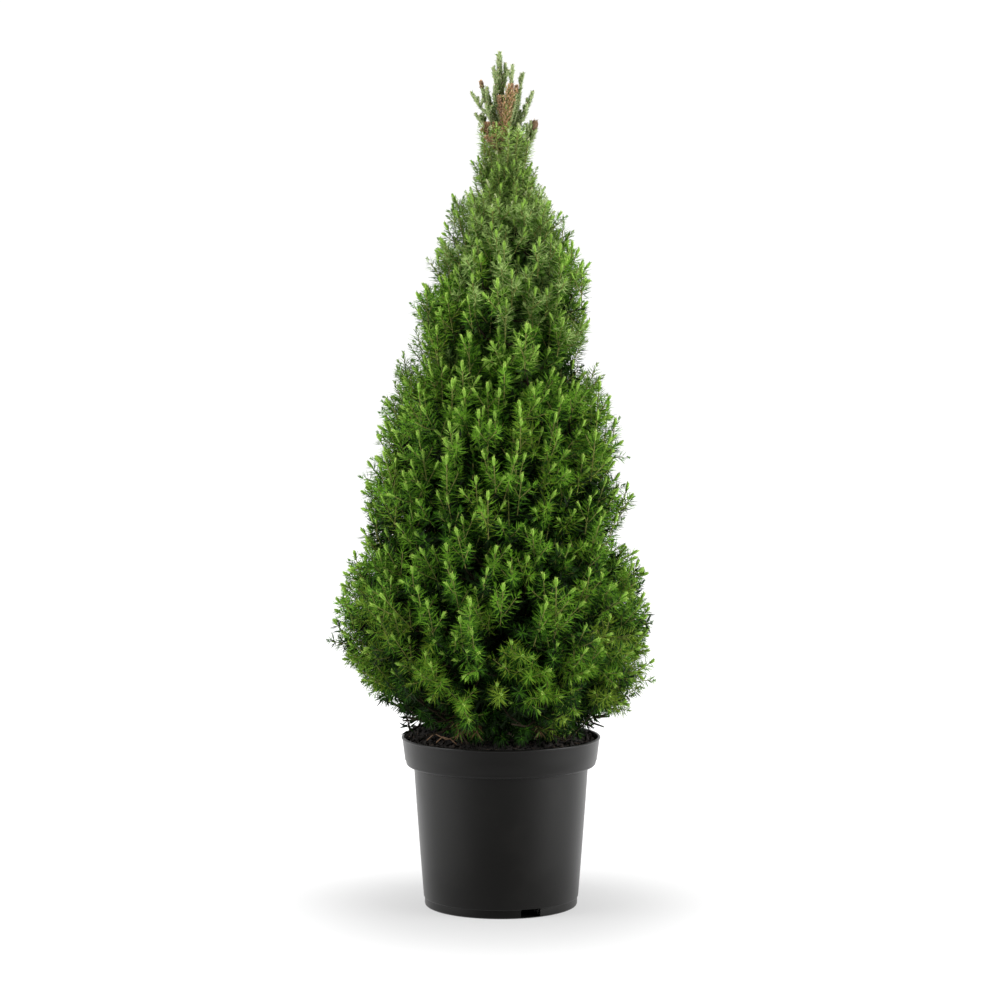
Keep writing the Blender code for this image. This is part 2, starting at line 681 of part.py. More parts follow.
def build_tier(tier, room, bark, foliage):
    count = MASSES_PER_TIER[tier]
    for number in range(count):
        bearing = FIRST_BEARING + tier * TIER_TURN + math.tau * number / count
        cell = Cell(bearing, math.pi / count, SHELVES[tier], SHELVES[tier + 1])
        label = f"{tier + 1}_{number + 1}"
        rng = draws("mass_" + label)
        stagger = BOUGH_STAGGER * (-1, 1)[number % 2]
        if tier < TIERS_WITH_BOUGHS:
            tip, heading = build_bough("bough_" + label, cell, stagger, room, bark)
            length = crown_reach(cell.high[1]) * (CORE_START - BOUGH_REACH + STEM_INTO_CORE)
            stem = stem_from_tip(tip, heading, length, BOUGH_TIP_RADIUS)
        else:
            stem = stem_from_trunk(cell, room)
        heart = cell.place(0.0, (CORE_START + CORE_END) / 2, HEART_HEIGHT)
        shoots = [grown_shoot(cell, heart, across, up, rng) for across, up in shoot_aims(cell)]
        shoots = [shoot for shoot in shoots if shoot]
        fuse("mass_" + label, core_mesh(cell), stem, shoots, rng, foliage)


def build_spire(foliage):
    """The top of the plant: a slim mass on the trunk's tip, with a leader and a whorl of upright shoots."""
    bm = bmesh.new()
    bmesh.ops.create_uvsphere(bm, u_segments=CORE_MERIDIANS, v_segments=CORE_PARALLELS, radius=1.0)
    for vert in bm.verts:
        height = mix(SPIRE_CORE_LOW, SPIRE_CORE_HIGH, (vert.co.z + 1) / 2)
        vert.co = trunk_line(height) + Vector((vert.co.x, vert.co.y, 0.0)) * SPIRE_CORE_RADIUS
    core = closed_mesh("core", bm)
    rise = SPIRE_CORE_LOW + STEM_INTO_SPIRE - TRUNK_TOP
    stem = stem_from_tip(trunk_line(TRUNK_TOP), Vector((0, 0, 1)), rise, TRUNK_TOP_RADIUS)
    heart = trunk_line((SPIRE_CORE_LOW + SPIRE_CORE_HIGH) / 2)
    shoots = [needled_shoot(heart, trunk_line(LEADER_START), trunk_line(PLANT_TOP))]
    cell = Cell(0.0, math.tau, SHELVES[-1], (PLANT_TOP, PLANT_TOP))
    for degrees, reach, height in SPIRE_SHOOTS:
        bearing = math.radians(degrees)
        start = round_trunk(bearing, SPIRE_CORE_RADIUS * SPIRE_SHOOT_START, height - SHOOT_LENGTH[0])
        shoot = needled_shoot(heart, start, round_trunk(bearing, reach, height))
        if keeps_to(cell, shoot):
            shoots.append(shoot)
    fuse("mass_spire", core, stem, shoots, draws("mass_spire"), foliage)


def main():
    clear_scene()
    plastic = material("black_plastic", (0.018, 0.018, 0.019), 0.45)
    peat = material("peat", (0.020, 0.014, 0.009), 0.95)
    bark = material("bark", (0.115, 0.080, 0.052), 0.85)
    foliage = material("needles", (0.075, 0.145, 0.030), 0.55)
    build_pot(plastic)
    build_compost(peat)
    add_object("trunk", trunk_mesh("trunk", 0.0), bark, SOFT_EDGE)
    room = build_trunk_room()
    for tier in range(len(MASSES_PER_TIER)):
        build_tier(tier, room, bark, foliage)
    build_spire(foliage)


main()
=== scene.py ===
import math
import random

import bmesh
import bpy
import numpy as np
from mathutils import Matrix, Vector, noise


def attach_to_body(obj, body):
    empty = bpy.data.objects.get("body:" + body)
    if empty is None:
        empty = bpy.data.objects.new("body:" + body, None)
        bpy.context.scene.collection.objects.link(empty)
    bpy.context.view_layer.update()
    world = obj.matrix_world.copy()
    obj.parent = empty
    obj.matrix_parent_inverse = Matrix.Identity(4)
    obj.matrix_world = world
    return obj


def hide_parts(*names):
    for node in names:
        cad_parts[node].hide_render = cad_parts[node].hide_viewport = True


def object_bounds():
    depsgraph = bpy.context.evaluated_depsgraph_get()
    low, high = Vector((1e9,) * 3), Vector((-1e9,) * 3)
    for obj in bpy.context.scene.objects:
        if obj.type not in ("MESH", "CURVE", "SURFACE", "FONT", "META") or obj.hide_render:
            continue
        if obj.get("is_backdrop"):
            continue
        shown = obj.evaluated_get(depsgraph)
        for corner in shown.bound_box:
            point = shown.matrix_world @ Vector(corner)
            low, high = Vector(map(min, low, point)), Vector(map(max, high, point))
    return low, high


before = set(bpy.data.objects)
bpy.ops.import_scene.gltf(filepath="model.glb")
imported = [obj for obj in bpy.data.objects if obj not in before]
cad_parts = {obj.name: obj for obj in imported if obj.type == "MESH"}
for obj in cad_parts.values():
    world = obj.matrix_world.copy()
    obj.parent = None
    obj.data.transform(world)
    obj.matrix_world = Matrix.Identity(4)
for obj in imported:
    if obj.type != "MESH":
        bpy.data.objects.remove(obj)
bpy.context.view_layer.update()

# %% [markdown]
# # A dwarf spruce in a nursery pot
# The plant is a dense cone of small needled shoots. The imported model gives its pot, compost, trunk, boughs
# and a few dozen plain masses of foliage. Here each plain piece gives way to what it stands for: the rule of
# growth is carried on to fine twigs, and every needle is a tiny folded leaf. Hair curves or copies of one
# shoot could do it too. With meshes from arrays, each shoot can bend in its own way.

MASSES = sorted(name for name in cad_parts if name.startswith("mass_"))
BOUGHS = sorted(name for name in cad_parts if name.startswith("bough_"))

# %% [markdown]
# ## Meshes from arrays
# A needle is only a few points, but there are some hundred thousand of them. Making each with an operator
# would take hours. A mesh takes its points and faces straight from number arrays instead, so a whole
# kind of needle is made in one go.

# %% A mesh from arrays, and a piece from a mesh
def mesh_of(name, points, faces, smooth=False):
    """A mesh from an n x 3 array of points and an m x 3 or m x 4 array of faces."""
    mesh = bpy.data.meshes.new(name)
    mesh.vertices.add(len(points))
    mesh.vertices.foreach_set("co", np.ascontiguousarray(points, np.float32).ravel())
    mesh.loops.add(faces.size)
    mesh.loops.foreach_set("vertex_index", np.ascontiguousarray(faces, np.int32).ravel())
    mesh.polygons.add(len(faces))
    mesh.polygons.foreach_set("loop_start", np.arange(0, faces.size, faces.shape[1], dtype=np.int32))
    mesh.polygons.foreach_set("use_smooth", np.full(len(faces), smooth))
    mesh.update(calc_edges=True)
    return mesh


def placed(name, data):
    """A new object in the scene."""
    made = bpy.data.objects.new(name, data)
    bpy.context.scene.collection.objects.link(made)
    return made


def piece(name, mesh, finish, stands_for=()):
    """An object that rides with the plant and takes this finish."""
    made = placed(name, mesh)
    mesh.materials.clear()
    mesh.materials.append(finish)
    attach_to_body(made, "root")
    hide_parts(*stands_for)
    return made


# %% [markdown]
# ## Finishes as sums
# A finish is a graph of nodes. Written out one node at a time it is long and hard to read, so a number inside
# the graph is wrapped in a small class: `1 - mask * 0.3` then adds its own Math nodes. Every other node comes
# from one method that takes the node's type, its settings and what goes into its sockets.

# %% A number inside a graph
class Wire:
    """One output of a node. Sums on it add Math nodes."""

    def __init__(self, graph, socket):
        self.graph, self.socket = graph, socket

    def sum(self, operation, first, second):
        return self.graph.node("ShaderNodeMath", {"operation": operation}, {0: first, 1: second})

    def __add__(self, other):
        return self.sum("ADD", self, other)

    def __sub__(self, other):
        return self.sum("SUBTRACT", self, other)

    def __rsub__(self, other):
        return self.sum("SUBTRACT", other, self)

    def __mul__(self, other):
        return self.sum("MULTIPLY", self, other)

    __radd__, __rmul__ = __add__, __mul__


# %% A tree of nodes
class Graph:
    """A tree of nodes, and the one method that adds to it."""

    def __init__(self, tree):
        self.tree = tree

    def feed(self, socket, value):
        if isinstance(value, Wire):
            self.tree.links.new(value.socket, socket)
        else:
            socket.default_value = value

    def node(self, kind, settings=(), sockets=(), output=0):
        """Adds a node, sets it and fills its sockets. Returns one of its outputs, if it has any."""
        made = self.tree.nodes.new(kind)
        for name, value in dict(settings).items():
            setattr(made, name, value)
        for name, value in dict(sockets).items():
            self.feed(made.inputs[name], value)
        return Wire(self, made.outputs[output]) if made.outputs else None


# %% A finish, with the nodes that come up again and again
class Finish(Graph):
    """A material with one surface shader."""

    def __init__(self, name, **plain):
        self.material = bpy.data.materials.new(name)
        self.material.use_nodes = True
        super().__init__(self.material.node_tree)
        self.surface = self.tree.nodes["Principled BSDF"]
        self.set(**plain)

    def set(self, **sockets):
        """Fills sockets of the surface. An underscore in a name stands for a space."""
        for name, value in sockets.items():
            self.feed(self.surface.inputs[name.replace("_", " ")], value)

    def place(self):
        """Where a point is on the object, in metres."""
        return self.node("ShaderNodeTexCoord", output="Object")

    def grain(self, where, scale, detail=4.0, roughness=0.5):
        """Cloudy noise from 0 to 1, with this many clouds to a metre."""
        sockets = {"Vector": where, "Scale": scale, "Detail": detail, "Roughness": roughness}
        return self.node("ShaderNodeTexNoise", sockets=sockets)

    def between(self, value, low, high):
        """0 where value is at low and 1 where it is at high, eased between."""
        sockets = {"Value": value, "From Min": low, "From Max": high}
        return self.node("ShaderNodeMapRange", {"interpolation_type": "SMOOTHSTEP"}, sockets)

    def blend(self, share, first, second):
        """A colour between two colours."""
        return self.node("ShaderNodeMix", {"data_type": "RGBA"}, {0: share, 6: first, 7: second}, output=2)

    def relief(self, height, depth, under=None):
        """Small bumps, depth metres high, over another relief if there is one."""
        sockets = {"Height": height, "Distance": depth, "Strength": 1.0}
        if under:
            sockets["Normal"] = under
        return self.node("ShaderNodeBump", sockets=sockets)


def colour(red, green, blue):
    return (red, green, blue, 1.0)


# %% [markdown]
# ## The pot
# A nursery pot is blown or moulded from black plastic: a wall that leans out, a deep collar that it is lifted
# by, a rolled lip and a flat foot with notches for water. It is a turned shape, so a profile is spun round
# the axis. A subdivided cylinder would need its edges held by hand.

# %% Black plastic, satin, with faint scuffs and dust
plastic = Finish("black_plastic", Specular_IOR_Level=0.11, Coat_Roughness=0.36)
where = plastic.place()
orange_peel = plastic.grain(where, 900.0, 3.0)
cloud = plastic.grain(where, 16.0, 5.0, 0.6)
squeezed = plastic.node("ShaderNodeMapping", sockets={"Vector": where, "Scale": (1.0, 1.0, 0.06)})
drawn = plastic.grain(squeezed, 420.0, 4.0, 0.65)
dust = plastic.between(cloud, 0.48, 0.78)
scuffs = plastic.between(drawn, 0.60, 0.74)
tint = plastic.blend(dust * 0.55 + scuffs * 0.20,
                     colour(0.0022, 0.0020, 0.0016), colour(0.0062, 0.0056, 0.0048))
sheen = plastic.node("ShaderNodeLayerWeight", sockets={"Blend": 0.82}, output="Facing")
plastic.set(Base_Color=tint, Roughness=0.40 + dust * 0.10 + scuffs * 0.08, Coat_Weight=sheen * 0.49,
            Normal=plastic.relief(drawn, 0.00006, plastic.relief(orange_peel, 0.00005)))
print("black plastic:", len(plastic.tree.nodes), "nodes")

# %% The pot's profile, in metres
POT_HEIGHT = 0.197
LIP_RADIUS = 0.115
COLLAR_TOP_RADIUS = 0.1137
COLLAR_FOOT_RADIUS = 0.1097
COLLAR_FOOT = 0.163
WALL_TOP_RADIUS = 0.1008
WALL_FOOT_RADIUS = 0.0896
FOOT_HEIGHT = 0.0105
WALL = 0.0022
FLOOR_RADIUS, FLOOR_TOP = 0.0862, 0.003


def polar(radius, angle):
    return radius * math.cos(angle), radius * math.sin(angle)


def arc(radius, height, size, start, end, steps):
    """Points of an arc round (radius, height), from one angle to another in degrees."""
    turns = [polar(size, math.radians(start + (end - start) * step / steps)) for step in range(steps + 1)]
    return [(radius + out, height + up) for out, up in turns]


# Radius and height, from the middle of the floor inside, over the lip and down to the underside.
ledge = COLLAR_FOOT + WALL
POT_PROFILE = [
    (0.0, FLOOR_TOP), (FLOOR_RADIUS, FLOOR_TOP), (WALL_TOP_RADIUS - WALL, ledge),
    (COLLAR_FOOT_RADIUS - WALL, ledge), (LIP_RADIUS - 0.0028, POT_HEIGHT - 0.0035),
    *arc(LIP_RADIUS - 0.0016, POT_HEIGHT - 0.0016, 0.0013, 200, 60, 6),
    *arc(LIP_RADIUS - 0.0014, POT_HEIGHT - 0.0018, 0.0014, 50, -70, 6),
    (COLLAR_TOP_RADIUS + 0.0002, POT_HEIGHT - 0.0045), (COLLAR_TOP_RADIUS, POT_HEIGHT - 0.0055),
    (0.1124, 0.181), (0.1110, 0.170),
    *arc(COLLAR_FOOT_RADIUS - 0.0035, COLLAR_FOOT + 0.0035, 0.0035, 8, -82, 8),
    (0.1030, COLLAR_FOOT - 0.0002),
    *arc(WALL_TOP_RADIUS + 0.0013, COLLAR_FOOT - 0.0016, 0.0014, 90, 182, 5),
    (0.0975, 0.115), (0.0935, 0.060),
    (WALL_FOOT_RADIUS, FOOT_HEIGHT + 0.0006), (WALL_FOOT_RADIUS - 0.0003, FOOT_HEIGHT),
    (WALL_FOOT_RADIUS - 0.0012, FOOT_HEIGHT - 0.0009), *arc(0.0859, 0.0025, 0.0025, 0, -90, 6),
    (0.058, 0.0), (0.0565, 0.0015), (0.0315, 0.0015), (0.030, 0.0), (0.0, 0.0),
]
print("pot's profile:", len(POT_PROFILE), "points")

# %% Turned shapes, and blocks that cut
NOTCH_SIZE = (0.030, 0.024, 0.0092)
NOTCH_RADIUS, NOTCH_HEIGHT, NOTCH_BEARING = 0.0768, 0.0059, -67.4


def ring_quads(rings, sides):
    """Faces between rings of points that are numbered ring by ring."""
    starts = [(ring * sides, (ring + 1) * sides) for ring in range(rings - 1)]
    steps = [(side, (side + 1) % sides) for side in range(sides)]
    return [(low + side, low + after, high + after, high + side)
            for low, high in starts for side, after in steps]


def turned(name, profile, turns):
    """A mesh spun round the axis from a profile that starts and ends on it."""
    points = [(*polar(radius, math.tau * turn / turns), height)
              for radius, height in profile[1:-1] for turn in range(turns)]
    rim = range(turns)
    caps = [[*rim][::-1], [len(points) - turns + turn for turn in rim]]
    mesh = bpy.data.meshes.new(name)
    mesh.from_pydata(points, [], ring_quads(len(profile) - 2, turns) + caps)
    return mesh


def notch(bearing):
    """A block that cuts a drain notch out of the foot."""
    bm = bmesh.new()
    bmesh.ops.create_cube(bm, size=1.0)
    bmesh.ops.scale(bm, vec=NOTCH_SIZE, verts=bm.verts)
    bmesh.ops.bevel(bm, geom=bm.edges[:], offset=0.0012, segments=2, affect="EDGES", profile=0.5)
    mesh = bpy.data.meshes.new("notch")
    bm.to_mesh(mesh)
    bm.free()
    made = placed("notch", mesh)
    made.location = (*polar(NOTCH_RADIUS, bearing), NOTCH_HEIGHT)
    made.rotation_euler = (0.0, 0.0, bearing)
    return made


# %% Spin the pot and cut its notches
rough = placed("rough_pot", turned("rough_pot", POT_PROFILE, 168))
notches = [notch(math.radians(NOTCH_BEARING + 120 * number)) for number in range(3)]
for block in notches:
    cut = rough.modifiers.new("drain", "BOOLEAN")
    cut.operation = "DIFFERENCE"
    cut.object = block
graph = bpy.context.evaluated_depsgraph_get()
mesh = bpy.data.meshes.new_from_object(rough.evaluated_get(graph))
for thing in [rough, *notches]:
    bpy.data.objects.remove(thing)
mesh.shade_smooth()
mesh.set_sharp_from_angle(angle=math.radians(32))
pot = piece("pot_shell", mesh, plastic.material, ["pot"])
print("pot:", len(pot.data.polygons), "faces,", [round(value, 4) for value in pot.dimensions])

# %% [markdown]
# ## The compost
# Peat is nearly black, made of crumbs of every size with a few pale splinters. A smooth disc with a noise
# bump looks like felt. So the surface is a fine grid pushed up and down by noise, with loose crumbs strewn on
# it as small uneven stones of their own.

# %% The surface's height
COMPOST_TOP, SKIRT_FOOT = 0.191, 0.170
COMPOST_RADIUS = 0.1118
WITHIN_RIM = 0.985  # the share of that radius that the skirt and the crumbs keep within
LUMPS = ((0.0, 95, 0.0026), (3.0, 260, 0.0018), (7.0, 700, 0.0009))  # level, lumps to a metre, height


def compost_height(x, y):
    """The source's low dome with a heap at one side."""
    out = math.hypot(x, y) / LIP_RADIUS
    away = math.hypot(x + 0.083, y - 0.030) / 0.030
    return COMPOST_TOP + 0.002 * max(0.0, 1 - out * out) + 0.012 * math.exp(-away * away)


# %% A crumbly finish in two shades
def peat(name, dark, pale):
    made = Finish(name, Roughness=0.9)
    where = made.place()
    crumbs = made.grain(where, 520.0, 6.0, 0.7)
    damp = made.grain(where, 38.0, 3.0)
    fleck = made.between(crumbs, 0.66, 0.74)
    tint = made.blend(made.between(damp, 0.35, 0.65), dark, pale)
    made.set(Base_Color=made.blend(fleck * 0.6, tint, colour(0.060, 0.042, 0.026)),
             Roughness=0.95 - made.between(damp, 0.5, 0.7) * 0.15, Normal=made.relief(crumbs, 0.0012))
    return made.material


# %% The surface as a fine round grid
def compost_surface():
    """A round grid, rough with crumbs, with a short skirt down inside the pot."""
    rings, turns = 74, 220
    points = [(0.0, 0.0, compost_height(0.0, 0.0))]
    for ring in range(1, rings + 1):
        radius = COMPOST_RADIUS * ring / rings
        for turn in range(turns):
            x, y = polar(radius, math.tau * (turn + ring * 0.5) / turns)
            lumps = sum(noise.noise(Vector((x, y, level)) * scale) * high for level, scale, high in LUMPS)
            points.append((x, y, compost_height(x, y) + lumps))
    points += [(x * WITHIN_RIM, y * WITHIN_RIM, SKIRT_FOOT) for x, y, _ in points[-turns:]]
    faces = [(0, 1 + turn, 1 + (turn + 1) % turns) for turn in range(turns)]
    for low, low_after, high_after, high in np.array(ring_quads(rings + 1, turns)) + 1:
        faces += [(low, high, high_after), (low, high_after, low_after)]
    return mesh_of("compost_surface", np.array(points), np.array(faces), True)


# %% Loose crumbs
def strewn(name, count, sizes, rng):
    """Uneven crumbs lying on the compost, as one mesh."""
    bm = bmesh.new()
    bmesh.ops.create_icosphere(bm, subdivisions=1, radius=1.0)
    ball = np.array([vert.co[:] for vert in bm.verts])
    sides = np.array([[vert.index for vert in face.verts] for face in bm.faces])
    bm.free()
    points, faces = [], []
    for number in range(count):
        radius = COMPOST_RADIUS * WITHIN_RIM * math.sqrt(rng.random())
        x, y = polar(radius, rng.uniform(0, math.tau))
        size = sizes[0] * (sizes[1] / sizes[0]) ** (rng.random() ** 2.2)
        room = COMPOST_RADIUS - size - radius
        if room < 0:
            x, y = x * (1 + room / radius), y * (1 + room / radius)
        shape = ball * [rng.uniform(0.6, 1.3) for _ in range(3)]
        shape = shape * np.array([rng.uniform(0.7, 1.25) for _ in ball])[:, None] * size
        cosine, sine = polar(1.0, rng.uniform(0, math.tau))
        across, along, up = shape.T
        turned_shape = np.stack([across * cosine - along * sine, across * sine + along * cosine, up], 1)
        faces.append(sides + len(points) * len(ball))
        points.append(turned_shape + (x, y, compost_height(x, y) + size * 0.35))
    return mesh_of(name, np.concatenate(points), np.concatenate(faces))


# %% Lay the compost and strew its crumbs
dark_peat = peat("dark_peat", colour(0.0060, 0.0045, 0.0034), colour(0.014, 0.010, 0.007))
brown_peat = peat("brown_peat", colour(0.020, 0.013, 0.008), colour(0.040, 0.026, 0.016))
splinter_wood = peat("splinter_wood", colour(0.21, 0.14, 0.075), colour(0.34, 0.25, 0.15))
compost = piece("compost_surface", compost_surface(), dark_peat, ["compost"])
piece("peat_crumbs", strewn("peat_crumbs", 2600, (0.0007, 0.0036), random.Random(4)), dark_peat)
piece("peat_lumps", strewn("peat_lumps", 420, (0.0008, 0.0030), random.Random(5)), brown_peat)
piece("pale_flecks", strewn("pale_flecks", 70, (0.0004, 0.0012), random.Random(6)), splinter_wood)
print("compost:", len(compost.data.vertices), "points")

# %% [markdown]
# ## Limbs
# A trunk or twig is a row of rings along a line. The trunk and boughs get rings close together, each point
# moved in or out by noise that is stretched along the limb, so that the bark has real ridges at the outline.
# The twigs are far too many for that and are three-sided.

# %% Tubes along lines
def unit(vectors):
    return vectors / (np.linalg.norm(vectors, axis=-1, keepdims=True) + 1e-12)


def square_to(ahead, guide):
    """Two directions square to ahead and to each other. The guide says which way up to begin."""
    like = np.where(np.abs(guide[..., 2:]) < 0.9, [0.0, 0.0, 1.0], [1.0, 0.0, 0.0])
    first = unit(np.cross(ahead, like))
    return first, np.cross(ahead, first)


def tubes(name, paths, radii, sides):
    """One mesh of many tubes. paths is tubes x rings x 3, and radii is tubes x rings."""
    paths, radii = np.asarray(paths, float), np.asarray(radii, float)
    count, rings = radii.shape
    ahead = unit(np.gradient(paths, axis=1))
    first, second = square_to(ahead, ahead[:, :1])
    angles = math.tau * np.arange(sides) / sides
    ring = first[:, :, None] * np.cos(angles)[:, None] + second[:, :, None] * np.sin(angles)[:, None]
    points = paths[:, :, None] + ring * radii[:, :, None, None]
    faces = np.array(ring_quads(rings, sides)) + (np.arange(count) * rings * sides)[:, None, None]
    return mesh_of(name, points.reshape(-1, 3), faces.reshape(-1, 4), True)


# %% Bark
def ridged(mesh, middle, depth, seed):
    """The mesh of a limb, its points moved in and out from their middles by noise, in long scales."""
    for vert, centre in zip(mesh.vertices, middle):
        where = Vector((vert.co.x * 320, vert.co.y * 320, vert.co.z * 95 + seed))
        ridge = noise.noise(where) + 0.55 * noise.noise(where * 2.7)
        vert.co = centre + (vert.co - centre) * (1 + depth * ridge)
    return mesh


def bark(name, dark, pale):
    made = Finish(name, Roughness=0.85)
    where = made.place()
    stretched = made.node("ShaderNodeMapping", sockets={"Vector": where, "Scale": (1.0, 1.0, 0.35)})
    plates = made.grain(stretched, 430.0, 6.0, 0.68)
    patches = made.grain(where, 60.0, 3.0)
    # The grooves of the relief are painted darker and rougher: the dark in them is painted shade.
    shaded_groove = 1 - made.between(plates, 0.38, 0.55)
    tint = made.blend(made.between(patches, 0.40, 0.62), pale, dark)
    made.set(Base_Color=made.blend(shaded_groove * 0.8, tint, colour(0.028, 0.018, 0.011)),
             Roughness=0.80 + shaded_groove * 0.12, Normal=made.relief(plates, 0.0009))
    return made.material


# %% The trunk's line and girth
PLANT_TOP = 0.984
TRUNK_TOP = 0.838
TRUNK_RADII = (0.0085, 0.0022)  # at the compost and at the top
FLARE, FLARE_HEIGHT = 0.0055, 0.014
ROOT_LOBES = 5
TRUNK_LINE = ((0.190, 0.000), (0.300, 0.000), (0.440, -0.007), (0.600, -0.002), (0.780, 0.006),
              (0.880, 0.006), (0.940, 0.001), (1.000, -0.001))


def read_table(table, height):
    """A value from rows of height and value, straight between rows."""
    return float(np.interp(height, [row[0] for row in table], [row[1] for row in table]))


def mix(first, second, share):
    return first + (second - first) * share


def trunk_line(height):
    """The trunk's middle at a height, eased between rows so that it has no kinks."""
    for (low, first), (high, second) in zip(TRUNK_LINE, TRUNK_LINE[1:]):
        if height <= high:
            share = max(0.0, (height - low) / (high - low))
            return Vector((mix(first, second, share * share * (3 - 2 * share)), 0.0, height))
    return Vector((TRUNK_LINE[-1][1], 0.0, height))


def flare(height, foot=COMPOST_TOP):
    """How much wider the trunk is near its foot."""
    return FLARE * math.exp(-max(height - foot, 0.0) / FLARE_HEIGHT)


def trunk_radius(height):
    share = min(max((height - COMPOST_TOP) / (TRUNK_TOP - COMPOST_TOP), 0.0), 1.0)
    return mix(*TRUNK_RADII, share) + flare(height)


print("trunk radius:", [round(trunk_radius(height), 4) for height in (COMPOST_TOP, TRUNK_TOP)])

# %% The trunk, from the compost to the leader
def trunk_mesh():
    rings, sides = 300, 40
    foot = compost_height(0.0, 0.0) - 0.002
    points, middle = [], []
    for ring in range(rings):
        height = mix(foot, PLANT_TOP - 0.012, (ring / (rings - 1)) ** 1.25)
        thin = max(0.0, (height - TRUNK_TOP) / (PLANT_TOP - TRUNK_TOP))
        radius, lobe = trunk_radius(height) * (1 - 0.62 * thin), 0.45 * flare(height, foot)
        middle += [trunk_line(height)] * sides
        for side in range(sides):
            bearing = math.tau * side / sides
            x, y = polar(radius + lobe * math.cos(ROOT_LOBES * bearing), bearing)
            points.append((middle[-1].x + x, y, height))
    mesh = mesh_of("trunk_bark", np.array(points), np.array(ring_quads(rings, sides)), True)
    return ridged(mesh, middle, 0.10, 0.0)


trunk_bark = bark("trunk_bark", colour(0.070, 0.048, 0.032), colour(0.150, 0.112, 0.078))
trunk = piece("trunk_bark", trunk_mesh(), trunk_bark, ["trunk"])
print("trunk:", len(trunk.data.polygons), "faces")

# %% [markdown]
# ## Where the foliage grows
# The crown is cut into cells round the trunk, each a wedge between two shelves that rise outwards. A bough
# goes to each cell, and a mass of shoots fills it out to the crown's outline. This is the source's rule with
# a few more dips in the outline, so what grows here reaches as far as the plain masses do.

# %% The crown's outline and its cells
CROWN_OUTLINE = ((0.203, 0.105), (0.226, 0.145), (0.267, 0.174), (0.295, 0.183), (0.377, 0.183),
                 (0.405, 0.171), (0.432, 0.154), (0.488, 0.152), (0.540, 0.140), (0.598, 0.125),
                 (0.639, 0.103), (0.708, 0.102), (0.749, 0.089), (0.791, 0.070), (0.818, 0.062),
                 (0.846, 0.037), (0.865, 0.032), (0.905, 0.039), (0.928, 0.037), (0.945, 0.029),
                 (0.958, 0.019), (0.984, 0.004))
CROWN_SWELLS = ((180, 0.350, 0.060, 0.007), (0, 0.350, 0.060, -0.006), (0, 0.445, 0.025, -0.009),
                (180, 0.245, 0.016, -0.022), (180, 0.667, 0.012, -0.012), (0, 0.653, 0.010, -0.026),
                (180, 0.738, 0.016, -0.014), (0, 0.706, 0.014, -0.008), (0, 0.240, 0.016, -0.006))
SHELVES = ((0.209, 0.205), (0.223, 0.296), (0.250, 0.390), (0.298, 0.489), (0.370, 0.588),
           (0.470, 0.682), (0.592, 0.771), (0.812, 0.880))
MASSES_PER_TIER = (6, 6, 5, 5, 4, 4, 3)
TIERS_WITH_BOUGHS = 4
TIER_TURN = math.radians(137.5)
FIRST_BEARING = math.radians(-62.0)
BOUGH_REACH, STEM_REACH = 0.34, 0.52  # shares of the crown's radius
BOUGH_RADIUS, LIMB_TIP_RADIUS = 0.0036, 0.0025
HEADINGS = ((0.21, -22.0), (0.27, 8.0), (0.31, 36.0), (0.36, 54.0), (0.46, 63.0), (0.62, 68.0),
            (0.80, 73.0), (0.90, 80.0))
UP = Vector((0.0, 0.0, 1.0))


def crown_reach(height):
    return read_table(CROWN_OUTLINE, height)


def crown_swell(bearing, height):
    """How far the crown stands out past its outline at a bearing and a height."""
    swell = 0.0
    for degrees, middle, spread, amount in CROWN_SWELLS:
        facing = max(0.0, math.cos(bearing - math.radians(degrees)))
        swell += amount * facing ** 2 * math.exp(-((height - middle) / spread) ** 2)
    return swell


def round_trunk(bearing, radius, height):
    x, y = polar(radius, bearing)
    return Vector((trunk_line(height).x + x, y, height))


# %% One cell of the crown
class Cell:
    """The space of one mass: a wedge round the trunk, between two rising shelves."""

    def __init__(self, tier, number):
        count = MASSES_PER_TIER[tier]
        self.tier, self.number = tier, number
        self.bearing = FIRST_BEARING + tier * TIER_TURN + math.tau * number / count
        self.half_width = math.pi / count
        self.has_bough = tier < TIERS_WITH_BOUGHS
        self.low, self.high = SHELVES[tier], SHELVES[tier + 1]

    def toward(self, across):
        """The bearing at across (-1 to 1)."""
        return self.bearing + across * self.half_width

    def outer(self, up):
        """The height at the crown's outline, up (0 to 1) between the shelves."""
        return mix(self.low[1], self.high[1], up)

    def place(self, across, along, up):
        """The point at across and up, and along (a share of the crown's radius)."""
        outer, bearing = self.outer(up), self.toward(across)
        radius = (crown_reach(outer) + crown_swell(bearing, outer)) * along
        floor = mix(self.low[0], self.low[1], radius / crown_reach(self.low[1]))
        roof = mix(self.high[0], self.high[1], radius / crown_reach(self.high[1]))
        return round_trunk(bearing, radius, mix(floor, roof, up))

    def surface(self):
        """The area of the crown that this cell covers."""
        middle = (self.low[1] + self.high[1]) / 2
        return (self.high[1] - self.low[1]) * 2 * self.half_width * crown_reach(middle)


CELLS = [Cell(tier, number) for tier, count in enumerate(MASSES_PER_TIER) for number in range(count)]
print("cells:", len(CELLS), "surface:", round(sum(cell.surface() for cell in CELLS), 3), "square metres")


# %% Boughs to the lower tiers, and stems to the upper ones
def bough_path(cell, rings):
    """The line from the trunk to where the mass begins, dipping a little under its weight."""
    stagger = 0.22 * (-1, 1)[cell.number % 2] if cell.has_bough else 0.0
    root = trunk_line(mix(cell.low[0], cell.high[0], 0.5 + stagger))
    tip = cell.place(0.0, BOUGH_REACH if cell.has_bough else STEM_REACH, 0.5)
    path = []
    for ring in range(rings):
        share = ring / (rings - 1)
        point = root.lerp(tip, share)
        point.z -= 0.10 * (tip - root).length * share * (1 - share)
        path.append(point)
    return path


